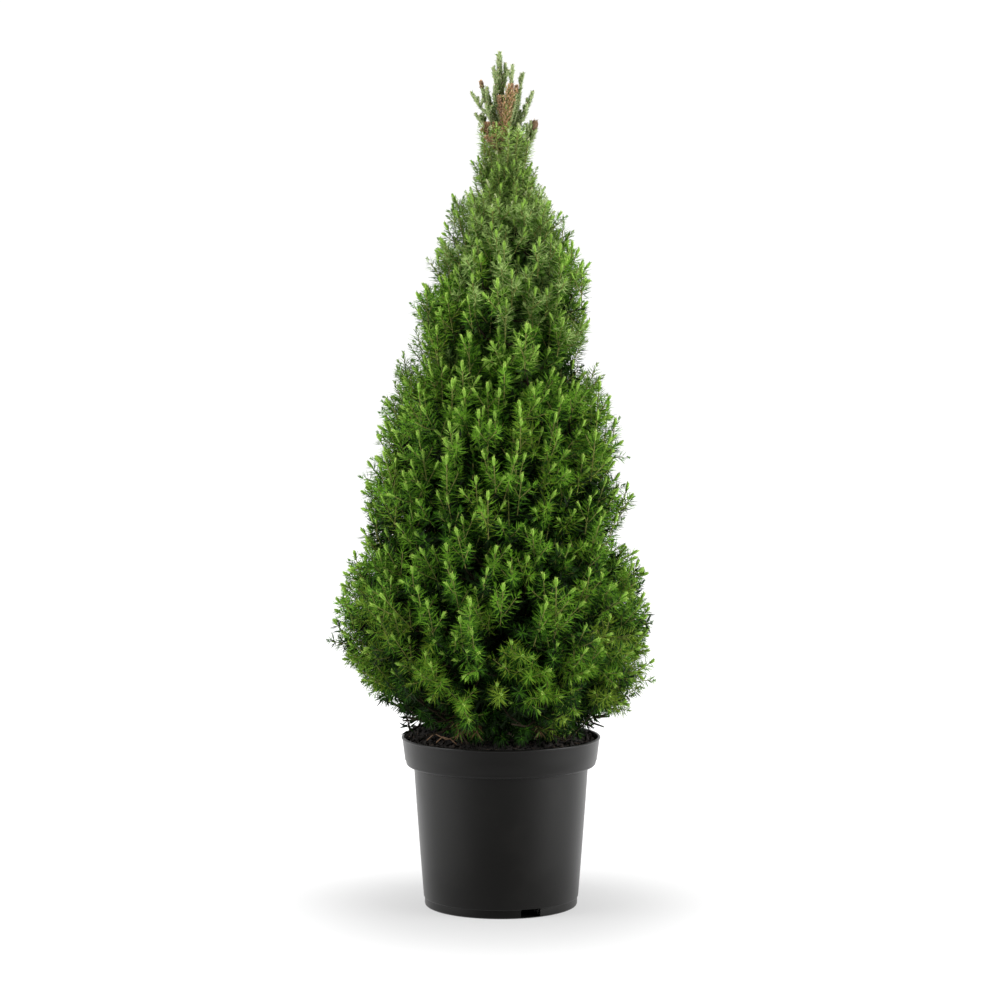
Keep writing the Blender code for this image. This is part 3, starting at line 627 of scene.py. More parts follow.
def limbs_mesh(name, cells):
    """The limbs of these cells as one mesh, each with ridged bark."""
    rings, sides = 30, 14
    paths = [bough_path(cell, rings) for cell in cells]
    thick = [BOUGH_RADIUS if cell.has_bough else 0.7 * trunk_radius(path[0].z)
             for cell, path in zip(cells, paths)]
    radii = [[mix(size, min(size, LIMB_TIP_RADIUS), ring / (rings - 1)) for ring in range(rings)]
             for size in thick]
    middle = [point for path in paths for point in path for _ in range(sides)]
    return ridged(tubes(name, paths, radii, sides), middle, 0.14, 40.0)


for name, has_bough, stands_for in (("bough_bark", True, BOUGHS), ("stem_bark", False, ())):
    cells = [cell for cell in CELLS if cell.has_bough == has_bough]
    limbs = piece(name, limbs_mesh(name, cells), trunk_bark, stands_for)
    print(f"{name}: {len(limbs.data.polygons)} faces")

# %% [markdown]
# ## Greens
# A needle's colour goes partly by how old it is: the oldest are deep inside, the newest lime. It also holds
# painted shade: needles deep inside and low down are nearly black green. Each tone is a plain colour of its
# own material, and the shoots are dealt out among them. A colour grid or noise over so many loose triangles
# would turn to mud when it is baked.

# %% The tones of needles, and how many times wider than the rest some of them are
# deep is nearly black and shade dark: both are painted shade, dealt to needles deep inside the crown.
GREENS = {
    "deep": colour(0.003, 0.010, 0.001),
    "shade": colour(0.032, 0.072, 0.013),
    "dark": colour(0.012, 0.044, 0.003),
    "leaf": colour(0.039, 0.116, 0.006),
    "moss": colour(0.125, 0.205, 0.046),
    "olive": colour(0.118, 0.195, 0.016),
    "fresh": colour(0.104, 0.236, 0.016),
    "sage": colour(0.235, 0.335, 0.100),
    "light": colour(0.230, 0.375, 0.066),
    "lime": colour(0.400, 0.550, 0.115),
    "steel": colour(0.460, 0.490, 0.290),
    "rust": colour(0.450, 0.235, 0.125),
    "umber": colour(0.400, 0.300, 0.170),
    "dead": colour(0.075, 0.044, 0.020),
}
TONES = tuple(GREENS)
# The deep and shade needles are wider, so that they fill the inside as dark sheets of painted shade.
WIDTHS = {"deep": 2.6, "shade": 2.0, "dark": 1.15, "moss": 1.10}
print("tones:", len(TONES))

# %% [markdown]
# ## Sprays
# A dwarf spruce ends each twig in a crow's foot: one upright shoot with a few shorter ones beside it. So a
# spray here is a leader and its side shoots. Each spray aims at a point of the crown's outline, and
# its heading follows the height: nearly upright at the top, level or drooping at the skirt. The aims step
# round the cell by fixed shares, which spreads them evenly without rows.

# %% Rows for shoots and twigs
SHOOTS = []  # start, tip, needle length, needle gap, lean at the start, lean at the tip, lift, tone
TWIG_LOOKS = {  # sides, slot, colour
    "young_twigs": (3, "bark", colour(0.165, 0.172, 0.050)),
    "young_buds": (4, "needles", colour(0.200, 0.345, 0.050)),
    "spire_cores": (5, "needles", colour(0.230, 0.285, 0.130)),
    # Old twigs inside the crown are nearly black: painted shade.
    "shaded_old_twigs": (3, "bark", colour(0.014, 0.010, 0.005)),
    "dead_twigs": (4, "bark", colour(0.120, 0.076, 0.045)),
}
TWIGS = {kind: [] for kind in TWIG_LOOKS}


def add_shoot(start, tip, length, gap, lean, lift, tone):
    SHOOTS.append((*start, *tip, length, gap, *lean, lift, TONES.index(tone)))


def add_twig(kind, path, radii):
    TWIGS[kind].append((path, radii))


def add_limb(root, tip, sag, radii, kind="shaded_old_twigs"):
    """A thin twig that sags between its ends. Returns its points."""
    path = (root, root.lerp(tip, 0.5) - UP * sag, tip)
    add_twig(kind, path, radii)
    return path


def side_axes(heading):
    like = UP if abs(heading.z) < 0.9 else Vector((1.0, 0.0, 0.0))
    first = heading.cross(like).normalized()
    return first, heading.cross(first)


def heading_at(height, bearing, tilt):
    out, up = polar(1.0, math.radians(read_table(HEADINGS, height) + tilt))
    return Vector((*polar(out, bearing), up))


# %% One shoot: spread needles below, a tight club round the bud
NEEDLE = 0.0138
CLUBS = ((0.21, 0.0048), (0.29, 0.0064), (0.38, 0.0092), (0.48, 0.0105), (0.90, 0.0115))
GAPS = ((0.21, 0.00060), (0.31, 0.00068), (0.40, 0.00080), (0.55, 0.00080), (0.64, 0.00068), (0.90, 0.00066))
DROOPS = ((0.21, -0.42), (0.26, -0.30), (0.32, -0.10), (0.42, 0.02), (0.90, 0.05))
SIZES = ((0.21, 1.06), (0.45, 1.02), (0.62, 1.03), (0.75, 0.96), (0.82, 0.80), (0.90, 0.62))
TILTS = ((0.50, -48.0), (0.66, -22.0), (0.90, -12.0))  # the most that a shoot leans out from its heading


def add_mixed(start, tip, length, gap, lean, lift, tones):
    """A stretch of shoot whose needles are of two tones, turn and turn about."""
    for tone in tones:
        add_shoot(start, tip, length, gap * len(tones), lean, lift, tone)


def needled_shoot(start, tip, rng, tones, thick=1.0):
    """Spread needles on a pale stem, and this year's short ones pressed round the bud."""
    old, leaf, new, bud = tones
    heading = (tip - start).normalized()
    length = (tip - start).length
    neck = tip - heading * min(read_table(CLUBS, tip.z) * thick, 0.36 * length)
    waist = neck.lerp(tip, 0.45)
    middle = start.lerp(neck, 0.5) - UP * 0.06 * length * (1 - heading.z)
    size = NEEDLE * thick * rng.uniform(0.90, 1.10)
    lift = read_table(DROOPS, tip.z)
    gap = read_table(GAPS, tip.z) * thick
    add_mixed(start, middle, size, gap * 1.06, (84, 76), lift, (old, leaf))
    add_mixed(middle, neck, size * 0.96, gap * 0.84, (76, 58), lift, (old, leaf, new, new))
    add_mixed(neck, waist, size * 0.62, 0.00052 * thick, (60, 44), lift * 0.5, (leaf, new, new))
    add_mixed(waist, tip, size * 0.27, 0.00044 * thick, (48, 26), 0.0, (new, bud, bud))
    add_shoot(tip - heading * 0.0034 * thick, tip, size * 0.18, 0.00036 * thick, (50, 10), 0.0, bud)
    add_twig("young_twigs", (start, middle, neck.lerp(tip, 0.2)), (0.00060, 0.00060, 0.00060))
    if bud in ("lime", "light"):
        body = [neck.lerp(tip, share) for share in (0.05, 0.45, 0.84, 1.0)]
        add_twig("young_buds", body, [radius * thick for radius in (0.0010, 0.0016, 0.0018, 0.0011)])


# %% The tones of a shoot
def tones_at(height, depth, rng):
    """Which tones a shoot takes: darker low down and deep inside as painted shade, lighter and greyer higher
    up.
    """
    grey = rng.random() < (height - 0.62) / 0.20
    # This value mixes how old the shoot is with painted shade, which makes it fall lower down and deeper
    # inside.
    age_and_shade = 0.40 + 0.66 * (max(height, 0.30) - 0.30) / 0.60 - 3.2 * depth + rng.uniform(-0.30, 0.34)
    if rng.random() < (0.40 - height) / 0.12 and age_and_shade > 0.12:
        return rng.choice((("dark", "olive", "olive", "lime"), ("leaf", "olive", "fresh", "lime"),
                           ("dark", "leaf", "olive", "light")))
    if grey:
        return ("shade", "moss", "moss", "sage") if age_and_shade < 0.35 else ("leaf", "moss", "sage", "light")
    if age_and_shade < 0.06:
        return "deep", "dark", "dark", "leaf"
    if age_and_shade < 0.28:
        return "deep", "dark", "leaf", "light"
    if age_and_shade < 0.62:
        return "dark", "leaf", "fresh", "lime"
    if age_and_shade < 0.98:
        return rng.choice((("dark", "fresh", "fresh", "lime"), ("dark", "olive", "fresh", "lime")))
    return "leaf", "fresh", "light", "lime"


# %% One spray: a leader and its side shoots
def spray_at(tip, bearing, depth, rng, tones=None):
    """A crow's foot with its leader's tip here. Returns where it springs from."""
    tilt = rng.choice((rng.uniform(-14, 20), rng.uniform(-14, 20), rng.uniform(-48, -14)))
    tilt = max(tilt, read_table(TILTS, tip.z))
    heading = heading_at(tip.z, bearing, tilt)
    thick = read_table(SIZES, tip.z)
    length = rng.uniform(0.040, 0.056) * thick
    start = tip - heading * length
    tones = tones or tones_at(tip.z, depth, rng)
    needled_shoot(start, tip, rng, tones, thick)
    first, second = side_axes(heading)
    turn = rng.uniform(0, math.tau)
    sides = rng.choice((1, 2, 2, 3))
    for number in range(sides):
        angle = turn + math.tau * number / sides + rng.uniform(-0.4, 0.4)
        spread = math.radians(rng.uniform(28, 50))
        out = first * math.cos(angle) + second * math.sin(angle)
        aim = (heading * math.cos(spread) + out * math.sin(spread) + UP * 0.16).normalized()
        root = start.lerp(tip, rng.uniform(0.05, 0.42))
        bud = tones[3] if rng.random() < 0.4 else tones[2]
        end = root + aim * length * rng.uniform(0.48, 0.72)
        needled_shoot(root, end, rng, (*tones[:3], bud), thick * 0.94)
    return start


# %% Sprays joined to the limbs
def grow_spray(cell, attach, across, along, up, rng):
    """A crow's foot whose leader ends at this place of the cell."""
    bearing = cell.toward(across * 0.9) + rng.uniform(-0.55, 0.55)
    tip = cell.place(across, along, up)
    if not in_hollow(tip):
        link_to_limb(spray_at(tip, bearing, 1 - along, rng), attach, rng)


def inner_tone(height):
    """The tone of the oldest needles, deep inside, darkened as painted shade: less deep near the top, where
    light comes through.
    """
    return "deep" if height < 0.60 else "shade" if height < 0.76 else "moss"


def link_to_limb(start, attach, rng):
    """A twig with its oldest needles, in the painted shade tone of the inside, from the nearest point of the
    mass's branchlets out to a spray.
    """
    centre = trunk_line(start.z)
    away = (start - centre).length
    inner = [point for point in attach if (point - centre).length < away * 0.96] or attach
    root = min(inner, key=lambda point: (point - start).length)
    path = add_limb(root, start, 0.10 * (start - root).length, (0.0010, 0.0009, 0.0007))
    for low, high in zip(path, path[1:]):
        if (high - low).length > 0.004:
            size = read_table(SIZES, high.z)
            add_shoot(low, high, 0.0130 * size, 0.00240, (70, 60), 0.0, inner_tone(high.z))


# %% How sprays are spread over a mass
# By tier: the crown's surface to each outer spray, then to each of those the sprays a little further in, the
# old shoots deep inside, made dark as painted shade, and how far out these reach.
SPRAY_AREAS = (0.00084, 0.00082, 0.00076, 0.00072, 0.00072, 0.00072, 0.00072)
INNER_SHARES = (0.55, 0.62, 0.85, 0.95, 1.30, 1.55, 1.5)
FILL_SHARES = (1.9, 2.1, 2.6, 3.0, 3.8, 4.6, 4.4)
FILL_REACHES = (0.66, 0.66, 0.66, 0.66, 0.64, 0.58, 0.50)
BRANCHLET_AREA = 0.0024  # of the crown's surface, to each branchlet
# Where the front is open and its depth shows, as millimetres across, height, half width and half height.
HOLLOWS = ((4, 364, 14, 19), (-1, 490, 11, 16), (-41, 679, 11, 15), (5, 236, 17, 13), (44, 282, 16, 13),
           (-42, 417, 11, 13), (-58, 300, 14, 12), (62, 452, 10, 13), (-64, 236, 12, 9), (20, 300, 12, 8))
ACROSS_STEP, UP_STEP = 0.7549, 0.5698  # shares of a cell that step over it evenly and in no rows


def aims(count, across=0.0, up=0.0):
    """Steps over an area: pairs of across (-1 to 1) and up (0 to 1)."""
    return [((across + number * ACROSS_STEP) % 1.0 * 2 - 1, (up + number * UP_STEP) % 1.0)
            for number in range(count)]


def in_hollow(tip):
    """Whether a tip here would close one of the hollows in the front."""
    return tip.y < 0 and any(math.hypot((1000 * tip.x - across) / wide, (1000 * tip.z - height) / tall) < 1
                             for across, height, wide, tall in HOLLOWS)


# %% One mass: branchlets, then sprays on them
def branchlets(cell, rng):
    """Lines from the end of the bough out through the mass. Returns points along them."""
    limb = bough_path(cell, 2)[-1]
    heart = cell.place(0.0, 0.605, 0.45)
    add_limb(limb, heart, 0.0, (0.0024, 0.0021, 0.0018))
    points = [limb.lerp(heart, share) for share in (0.3, 0.6, 1.0)]
    for across, up in aims(max(6, round(cell.surface() / BRANCHLET_AREA)), 0.5, 0.35):
        end = cell.place(across * 0.88 * 0.9, 0.84, 0.10 + 0.84 * up) - UP * 0.012
        path = add_limb(heart, end, 0.007, (0.0018, 0.0015, 0.0010))
        points += [first.lerp(second, share)
                   for first, second in zip(path, path[1:]) for share in (0.25, 0.5, 0.75, 1.0)]
    return points


def tuck(cell, across, up):
    """How far the crown's lowest edge is drawn in, more so at one side."""
    share = 0.82 if cell.tier == 0 and up < 0.34 else 1.0
    at_left = math.cos(cell.toward(across)) < -0.5
    return share * 0.86 if at_left and cell.outer(up) < 0.272 else share


def grow_mass(cell):
    rng = random.Random(cell.tier * 10 + cell.number)
    attach = branchlets(cell, rng)
    outer = round(cell.surface() / SPRAY_AREAS[cell.tier])
    for across, up in aims(outer, 0.5, 0.35):
        across += rng.uniform(-0.05, 0.05)
        up = min(max(up + rng.uniform(-0.04, 0.04), 0.01), 0.99)
        grow_spray(cell, attach, across, rng.uniform(0.92, 1.02) * tuck(cell, across, up), up, rng)
    for across, up in aims(round(outer * INNER_SHARES[cell.tier]), 0.2, 0.65):
        grow_spray(cell, attach, across, rng.uniform(0.72, 0.90) * tuck(cell, across, up), up, rng)
    # Old shoots of wide, nearly black needles fill the inside: painted shade.
    for across, up in aims(round(outer * FILL_SHARES[cell.tier]), 0.8, 0.15):
        along = 0.22 + FILL_REACHES[cell.tier] * math.sqrt(rng.random())
        tip = cell.place(across, along * tuck(cell, across, up), up)
        size = read_table(SIZES, tip.z)
        away = heading_at(tip.z, cell.toward(across), rng.uniform(-40, 20))
        start = tip - away * 0.036 * size
        add_shoot(start, tip, 0.0150 * size * size, 0.00160, (72, 50), 0.0, inner_tone(tip.z))
        link_to_limb(start, attach, rng)


# %% Grow all the masses
for cell in CELLS:
    grow_mass(cell)
print("shoots so far:", len(SHOOTS), "twigs:", {kind: len(twigs) for kind, twigs in TWIGS.items()})

# %% Single sprays that stand out at both sides
# Each is the place of its tip, as millimetres across and height.
EDGE_SPRAYS = ((-56, 818), (-72, 770), (-92, 706), (-97, 668), (-112, 640), (-118, 630), (-122, 606),
               (-126, 588), (-133, 560), (-142, 520), (-155, 490), (-185, 372), (-174, 344), (-178, 290),
               (-160, 262), (72, 790), (90, 730), (97, 682), (110, 627), (112, 606), (122, 574),
               (132, 545), (146, 490), (158, 410), (158, 402), (170, 384), (171, 350), (171, 320), (162, 268))
for across, height in EDGE_SPRAYS:
    rng = random.Random(across * 1000 + height)
    tip = Vector((across / 1000, rng.uniform(-0.016, 0.016), height / 1000))
    tones = ("leaf", "fresh", "moss", "sage") if height > 580 else None
    for inset in (0.0, 1.0):
        outward = (math.pi if across < 0 else 0.0) + rng.uniform(-0.3, 0.3)
        back = rng.choice((-1, 1)) * 0.018 * inset
        place = Vector((tip.x * (1 - 0.10 * inset), tip.y - back, tip.z - 0.010 * inset))
        start = spray_at(place, outward, 0.06 * inset, rng, tones)
        root = Vector((start.x * 0.62, start.y * 0.62, start.z - 0.012))
        add_limb(root, start, 0.0, (0.0012, 0.0010, 0.0008))

# %% Dead shoots low in front, bare limbs at one side, and dead twigs on the compost
# Each is a line of places in millimetres.
DEAD_SHOOTS = (((-30, -82, 236), (-40, -106, 217)), ((-28, -84, 232), (-27, -108, 214)),
               ((-36, -80, 238), (-52, -100, 226)), ((-44, -84, 232), (-47, -108, 214)),
               ((36, -84, 232), (44, -108, 216)))
DEAD_TWIGS = (((-84, -60, 200), (-75, -69, 209), (-62, -76, 203), (-48, -80, 208)),
              ((-73, -77, 200), (-66, -82, 207), (-57, -85, 205), (-50, -84, 199)),
              ((-96, -6, 262), (-118, -8, 270), (-140, -9, 268), (-158, -10, 271)),
              ((-52, -10, 224), (-68, -30, 230), (-80, -42, 226), (-92, -50, 229)),
              ((-118, -8, 270), (-130, -16, 261), (-142, -20, 258), (-150, -22, 260)))
for line in DEAD_SHOOTS:
    root, tip = [Vector(point) / 1000 for point in line]
    add_mixed(root, tip, 0.0130, 0.00070, (76, 50), -0.5, ("dead", "dead", "leaf"))
    add_limb(root, tip, 0.0, (0.0008, 0.0008, 0.0006))
for line in DEAD_TWIGS:
    add_twig("dead_twigs", [Vector(point) / 1000 for point in line], (0.0008, 0.0008, 0.0007, 0.0005))
print("dead shoots:", len(DEAD_SHOOTS), "dead twigs:", len(DEAD_TWIGS))

# %% [markdown]
# ## The spire
# The top has grown past the dense cone as a loose bunch of thin upright shoots, with short needles pressed
# close. Some of it has died and turned fox red. These few shoots are seen one by one against the
# light, so each is listed.

# %% The spire's shoots
# Each row is a shoot's foot, waist and tip, as millimetres across and height, then its depth and kind.
SPIRE = ((-2, 934, -2, 958, -1, 981, 0, "live"), (-4, 938, -8, 950, -9, 964, -4, "live"),
         (2, 940, 4, 950, 5, 964, 4, "live"), (6, 930, 11, 948, 13, 966, -8, "live"),
         (12, 915, 21, 938, 23, 957, 6, "live"), (12, 900, 29, 920, 35, 936, -6, "live"),
         (-8, 905, -20, 925, -24, 949, 5, "umber"), (-14, 915, -18, 928, -17, 941, -5, "live"),
         (-8, 900, -26, 918, -35, 935, -4, "live"), (-8, 888, -24, 897, -33, 912, 8, "live"),
         (2, 892, 8, 918, 12, 944, -9, "rust"), (0, 892, 5, 914, 7, 938, -11, "rust"),
         (4, 890, 12, 916, 17, 943, -6, "umber"), (-3, 884, -2, 898, 0, 916, -12, "rust"),
         (2, 895, 9, 908, 14, 924, -14, "live"), (18, 874, 29, 886, 35, 903, -6, "blob"),
         (16, 868, 30, 882, 34, 893, -8, "live"), (12, 872, 24, 886, 30, 899, -8, "live"),
         (14, 866, 27, 878, 32, 888, -3, "live"), (-8, 882, -17, 889, -24, 896, -12, "rust"),
         (-6, 880, -14, 885, -22, 890, -14, "umber"), (-4, 880, -10, 888, -15, 896, -13, "rust"),
         (-10, 882, -20, 886, -28, 893, -10, "rust"), (-4, 866, -14, 874, -23, 884, -22, "rust"),
         (-2, 864, -10, 872, -18, 882, -23, "rust"), (0, 868, -6, 876, -12, 886, -21, "rust"),
         (-2, 896, -3, 912, -1, 930, -13, "rust"), (-4, 905, -9, 925, -8, 943, -6, "live"),
         (10, 893, 24, 908, 27, 922, -9, "live"), (8, 905, 18, 922, 20, 936, 8, "live"),
         (-10, 893, -17, 905, -19, 918, -11, "live"))
UPRIGHT_SIZE, TOP_SIZE, BLOB_SIZE = 0.0066, 0.0082, 0.0078
STUB_SIZE = 0.0058
SPIRE_TONES = {"live": ("leaf", "sage", "steel", "umber"), "umber": ("moss", "sage", "umber", "umber"),
               "rust": ("umber", "umber", "rust", "rust"), "blob": ("umber", "umber", "dead", "umber")}


# %% A blunt shoot, and a longer one with stubs on it
def spire_point(across, height, depth):
    return trunk_line(height / 1000) + Vector((across / 1000, depth / 1000, 0.0))


def stub(root, tip, tones, size=STUB_SIZE, girth=1.0):
    """A short blunt shoot: a solid core, needles pressed close in mixed tones, and a bud."""
    ahead = (tip - root).normalized()
    add_mixed(root, tip - ahead * 0.001, size * 0.74, 0.00036, (60, 44), 0.04, tones[1:3])
    add_shoot(root, tip, size * 0.80, 0.00120, (64, 50), 0.0, tones[0])
    add_shoot(tip - ahead * 0.0034, tip - ahead * 0.0012, size * 0.44, 0.00036, (44, 20), 0.0, tones[2])
    add_shoot(tip - ahead * 0.0010, tip, size * 0.32, 0.00034, (30, 6), 0.0, tones[3])
    core = [root.lerp(tip, share) for share in (0.0, 0.35, 0.8, 1.0)]
    kind = "spire_cores" if tones[2] == "steel" else "dead_twigs"
    add_twig(kind, core, [size * girth * radius for radius in (0.20, 0.30, 0.31, 0.19)])


def spire_shoot(foot, waist, tip, tones, rng, stubs, size=STUB_SIZE):
    """A thin shoot with stubs on it, from the leader out and up to its blunt tip."""
    stub(foot, waist, tones, size)
    stub(waist, tip, tones, size)
    for number in range(stubs):
        below, above, low, high = (foot, waist, 0.1, 1.0) if number % 2 else (waist, tip, 0.0, 0.50)
        place = below.lerp(above, rng.uniform(low, high))
        out = Vector((*polar(1.0, rng.uniform(0, math.tau)), rng.uniform(2.2, 4.5))).normalized()
        stub(place, place + out * rng.uniform(0.008, 0.013), tones, size * 0.86)
    add_limb(trunk_line(max(foot.z - 0.022, 0.80)), foot, 0.0, (0.0010, 0.0010, 0.0008), "young_twigs")


# %% Grow the spire by its rows
rng = random.Random(77)
for *line, depth, kind in SPIRE:
    size = TOP_SIZE if line[-1] > 980 else UPRIGHT_SIZE
    places = zip(line[::2], line[1::2], (0.3 * depth, 0.8 * depth, depth))
    foot, waist, tip = [spire_point(*place) for place in places]
    if kind == "blob":
        stub(waist, tip, SPIRE_TONES[kind], BLOB_SIZE, 1.75)
        stub(foot, waist, SPIRE_TONES["live"])
    elif kind == "umber":
        spire_shoot(foot, waist, waist.lerp(tip, 0.75), SPIRE_TONES["live"], rng, 3, size)
        stub(waist.lerp(tip, 0.60), tip, SPIRE_TONES["rust"], 0.0062, 1.3)
    else:
        spire_shoot(foot, waist, tip, SPIRE_TONES[kind], rng, 3, size)

# Needles clothe the leader itself down to the neck.
heights = (0.872, 0.890, 0.908, 0.926, 0.944, 0.962)
for low, high in zip(heights, heights[1:]):
    add_mixed(trunk_line(low), trunk_line(high), 0.0072, 0.00026, (62, 50), 0.0, ("moss", "sage", "steel"))
print("hand-placed shoots:", len(SPIRE))

# %% The dead cluster in the spire
# It is a fan of short bare-ended shoots, open enough for light to show through.
CLUSTER_TONES = (("rust", "umber"), ("rust", "umber", "umber"), ("umber", "sage", "olive"))
for share, rise in aims(46):
    middle, half, height = mix(-6, 11, rise), mix(2.5, 8.5, rise), mix(870, 936, rise)
    depth = -19 + 4 * share * share
    root = spire_point(middle - 2 + half * share * 0.4, height - 10, depth + 2)
    tip = spire_point(middle + half * share, height + rng.uniform(2, 9), depth)
    add_mixed(root, tip, 0.0044, 0.00062, (56, 34), -0.1, rng.choice(CLUSTER_TONES))
    add_twig("young_twigs", (root, root.lerp(tip, 0.5), tip), (0.0007, 0.0006, 0.0004))

# %% Short side shoots all round the spire's lower half
for across, rise in aims(44):
    height = mix(0.884, 0.934, rise)
    bearing = (across + 1) * math.pi + rng.uniform(-0.3, 0.3)
    reach = crown_reach(height) * rng.uniform(0.16, 0.80) * (0.45 if math.sin(bearing) < -0.5 else 1.0)
    tip = round_trunk(bearing, reach, height)
    waist = round_trunk(bearing, reach * 0.82, height - rng.uniform(0.010, 0.014))
    foot = round_trunk(bearing, reach * 0.50, height - rng.uniform(0.024, 0.030))
    spire_shoot(foot, waist, tip, SPIRE_TONES["live"], rng, 1)
print("shoots so far:", len(SHOOTS))

# %% The neck below the spire: a sleeve of upright shoots
NECK_TONES = (("sage", "sage", "light", "steel"), ("moss", "sage", "light", "sage"))
for across, rise in aims(250):
    height, bearing = mix(0.800, 0.902, rise), (across + 1) * math.pi
    tip = round_trunk(bearing, crown_reach(height) * rng.uniform(0.42, 0.90), height)
    heading = heading_at(height, bearing, rng.uniform(-16, 8))
    start = tip - heading * rng.uniform(0.022, 0.032)
    needled_shoot(start, tip, rng, rng.choice(NECK_TONES), 0.78)
    add_limb(trunk_line(start.z - 0.012), start, 0.0, (0.0010, 0.0009, 0.0008), "young_twigs")
print("shoots:", len(SHOOTS))

# %% [markdown]
# ## Needles
# A needle is a stiff green leaf about a centimetre long and a millimetre wide. Two triangles folded
# along its middle catch light on two sides, as the real four-sided needle does, and are enough at this size.
# They are widest near the foot and bowed a little forward. They stand round the shoot by the golden angle
# and lean forward, more so towards its tip.

# %% Needles from rows
GOLDEN = math.pi * (3 - math.sqrt(5))
NEEDLE_WIDTH = 0.0012
WIDEST, BOW, FOLD = 0.34, 0.07, 0.30  # the first two are shares of a needle's length, the third of its width


def needles(rows, width, rng):
    """Points and faces of all the needles on these shoots."""
    start, tip = rows[:, 0:3], rows[:, 3:6]
    length, gap, lean, end_lean, lift = rows[:, 6:11].T
    axis = tip - start
    span = np.linalg.norm(axis, axis=1)
    counts = np.maximum(np.round(span / gap), 2).astype(int)
    owner = np.repeat(np.arange(len(rows)), counts)
    rank = np.arange(len(owner)) - np.repeat(np.cumsum(counts) - counts, counts)
    share = (rank + rng.random(len(owner)) * 0.6) / counts[owner]
    turn = rank * GOLDEN + (rng.random(len(rows)) * math.tau)[owner] + rng.normal(0, 0.22, len(owner))
    ahead = unit(axis)
    first, second = square_to(ahead, ahead)
    out = first[owner] * np.cos(turn)[:, None] + second[owner] * np.sin(turn)[:, None]
    tilt = np.radians(lean[owner] + (end_lean - lean)[owner] * share + rng.normal(0, 6, len(owner)))
    aim = ahead[owner] * np.cos(tilt)[:, None] + out * np.sin(tilt)[:, None]
    aim[:, 2] += lift[owner]
    aim = unit(aim)
    base = start[owner] + axis[owner] * share[:, None] + out * 0.0005
    long = length[owner] * rng.uniform(0.82, 1.10, len(owner))
    beside = unit(np.cross(ahead[owner], aim) + rng.normal(0, 0.25, aim.shape))
    above = np.cross(beside, aim)
    wide = (width * rng.uniform(0.85, 1.15, len(owner)))[:, None]
    waist = base + aim * (long * WIDEST)[:, None] - ahead[owner] * (long * BOW)[:, None]
    left = waist + beside * wide / 2 - above * wide * FOLD
    right = waist - beside * wide / 2 - above * wide * FOLD
    point = base + aim * long[:, None]
    points = np.stack([base, left, right, point], axis=1).reshape(-1, 3)
    corner = np.arange(len(owner))[:, None] * 4
    faces = np.concatenate([corner + [[0, 1, 3]], corner + [[0, 3, 2]]], axis=1).reshape(-1, 3)
    return points, faces


# %% Join the needles of each tone
MOST_TRIANGLES = 190_000  # of one joined piece
rows = np.array(SHOOTS)
shuffle = np.random.default_rng(11)
stands_for = MASSES
for index, (tone, green) in enumerate(GREENS.items()):
    chosen = rows[rows[:, 11] == index]
    points, faces = needles(chosen, NEEDLE_WIDTH * WIDTHS.get(tone, 1.0), shuffle)
    finish = Finish("needle_" + tone, Base_Color=green, Roughness=0.55, Specular_IOR_Level=0.07).material
    parts = math.ceil(len(faces) / MOST_TRIANGLES)
    step = math.ceil(len(faces) / parts / 2) * 2
    for part in range(parts):
        some = faces[part * step:(part + 1) * step]
        low = some.min()
        name = f"needles_{tone}_{part + 1}"
        piece(name, mesh_of(name, points[low:some.max() + 1], some - low), finish, stands_for)
        stands_for = ()
    print(f"{tone}: {len(chosen)} shoots, {len(faces)} triangles, {parts} pieces")

# %% Join the twigs
for kind, (sides, slot, tint) in TWIG_LOOKS.items():
    paths, radii = zip(*TWIGS[kind])
    finish = Finish(kind, Base_Color=tint, Roughness=0.8, Specular_IOR_Level=0.1).material
    twigs = piece(kind, tubes(kind, paths, radii, sides), finish)
    print(f"{kind}: {len(twigs.data.polygons)} faces")

# %% [markdown]
# ## Floor, light and camera
# A pale floor and sky with wide soft lights, as in a studio: bright panels at both sides put long
# reflections down the pot's edges and leave its middle dark, and a panel overhead lights the tips.

# %% Floor, which glows less round the pot: a painted shadow
BLACK, WHITE = colour(0.0, 0.0, 0.0), colour(1.0, 1.0, 1.0)
pale = Finish("pale_floor", Base_Color=colour(0.20, 0.20, 0.20), Roughness=0.9, Specular_IOR_Level=0.0)
squeeze = {0: pale.place(), 1: (1.25, 1.0, 1.0)}
squeezed = pale.node("ShaderNodeVectorMath", {"operation": "MULTIPLY"}, squeeze)
foot = {0: squeezed, 1: (0.0, -0.03, 0.0)}
far = pale.node("ShaderNodeVectorMath", {"operation": "DISTANCE"}, foot, output="Value")
# The floor's glow is lowest round the pot's foot and rises further off: a painted shadow round the pot.
glow = pale.between(far, 0.15, 0.40) * 0.16 + pale.between(far, 0.3, 1.4) * 0.32
pale.set(Emission_Color=pale.blend(glow + 0.53, BLACK, WHITE), Emission_Strength=1.0)
corners = np.array([(-1, -1, 0), (1, -1, 0), (1, 1, 0), (-1, 1, 0)]) * 9.0
floor = placed("floor", mesh_of("floor", corners, np.array([[0, 1, 2, 3]])))
floor.data.materials.append(pale.material)
floor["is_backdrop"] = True
print("floor:", [round(value, 1) for value in floor.dimensions])

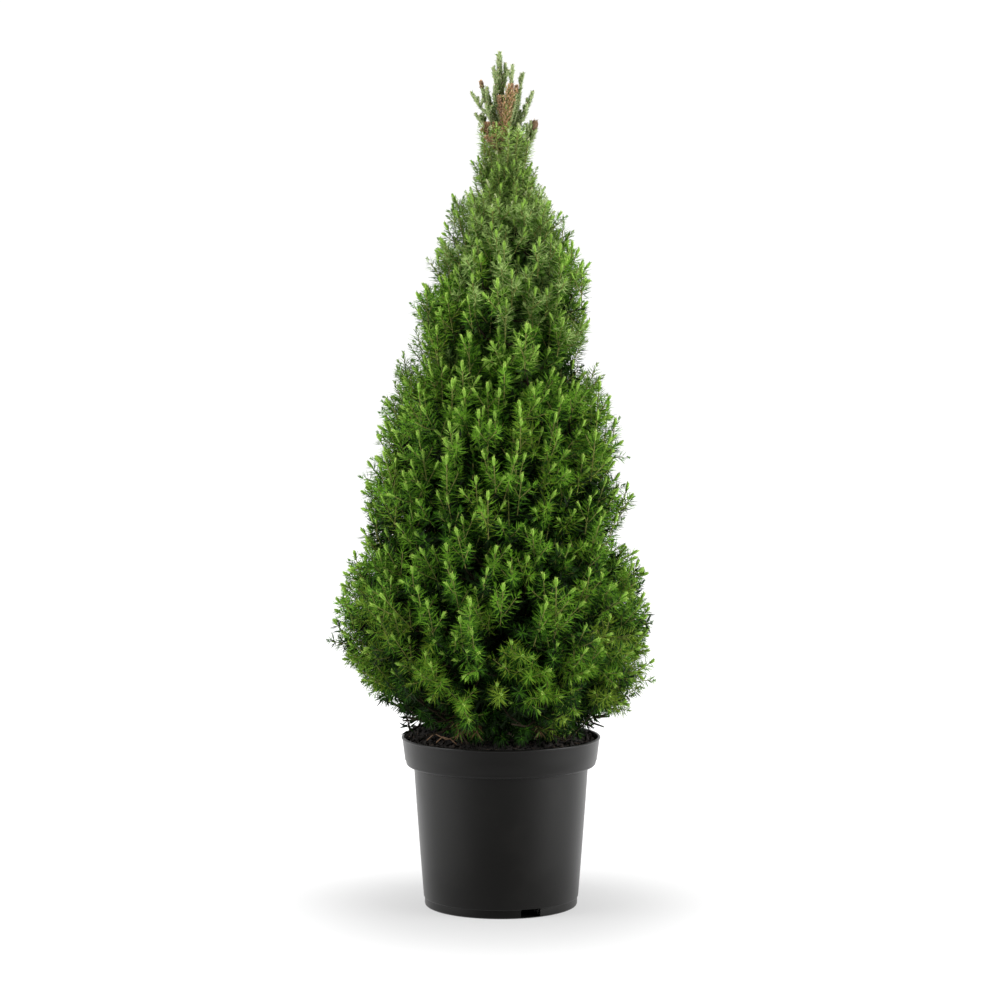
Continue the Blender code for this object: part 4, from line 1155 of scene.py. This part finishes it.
# %% Sky: dim in front, so that the pot's middle stays dark, bright behind, and plain white to the camera
world = bpy.data.worlds.new("studio")
bpy.context.scene.world = world
world.use_nodes = True
sky = Graph(world.node_tree)
sky.tree.nodes.clear()
toward = sky.node("ShaderNodeTexCoord", output="Generated")
depth = sky.node("ShaderNodeSeparateXYZ", sockets={0: toward}, output="Y")
front_to_back = {"Value": depth, "From Min": -1.0, "From Max": 0.3, "To Min": 0.02, "To Max": 0.85}
strength = sky.node("ShaderNodeMapRange", sockets=front_to_back)
glow = sky.node("ShaderNodeBackground", sockets={"Color": WHITE, "Strength": strength})
backdrop = sky.node("ShaderNodeBackground", sockets={"Color": WHITE, "Strength": 1.05})
ray = sky.node("ShaderNodeLightPath", output="Is Camera Ray")
pick = sky.node("ShaderNodeMixShader", sockets={0: ray, 1: glow, 2: backdrop})
sky.node("ShaderNodeOutputWorld", sockets={"Surface": pick})
print("sky:", len(sky.tree.nodes), "nodes")


# %% Panels
def panel(name, place, aim, width, height, power):
    """A soft box that lights the plant and isn't seen itself."""
    lamp = bpy.data.lights.new(name, "AREA")
    lamp.shape, lamp.size, lamp.size_y, lamp.energy = "RECTANGLE", width, height, power
    made = placed(name, lamp)
    made.location = place
    made.rotation_euler = (Vector(aim) - Vector(place)).to_track_quat("-Z", "Y").to_euler()
    made.visible_camera = False


panel("overhead", (0.0, 0.1, 2.6), (0.0, 0.0, 0.5), 1.6, 1.6, 84.0)
panel("left_panel", (-2.0, -0.8, 0.75), (0.0, 0.0, 0.30), 1.6, 1.4, 45.0)
panel("high_left_panel", (-1.7, -0.7, 2.1), (0.0, 0.0, 0.45), 0.9, 0.9, 16.0)
panel("right_panel", (2.0, -0.8, 0.75), (0.0, 0.0, 0.30), 1.6, 1.4, 72.0)

# %% Camera
camera = placed("camera", bpy.data.cameras.new("camera"))
camera.data.lens, camera.data.sensor_width = 101.4, 36.0
camera.data.shift_x = -0.001
LOOKING_DOWN = 0.06374  # radians
camera.location = (0.0, -3.235, 0.676)
camera.rotation_euler = (math.pi / 2 - LOOKING_DOWN, 0.0, 0.0)
bpy.context.scene.camera = camera
bpy.context.scene.view_settings.view_transform = "Standard"
print("camera:", [round(value, 3) for value in camera.location], "lens:", round(camera.data.lens, 1))

# %% Sizes, and the end
low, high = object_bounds()
print("dressed box:", [round(value, 4) for value in (*low, *high)])
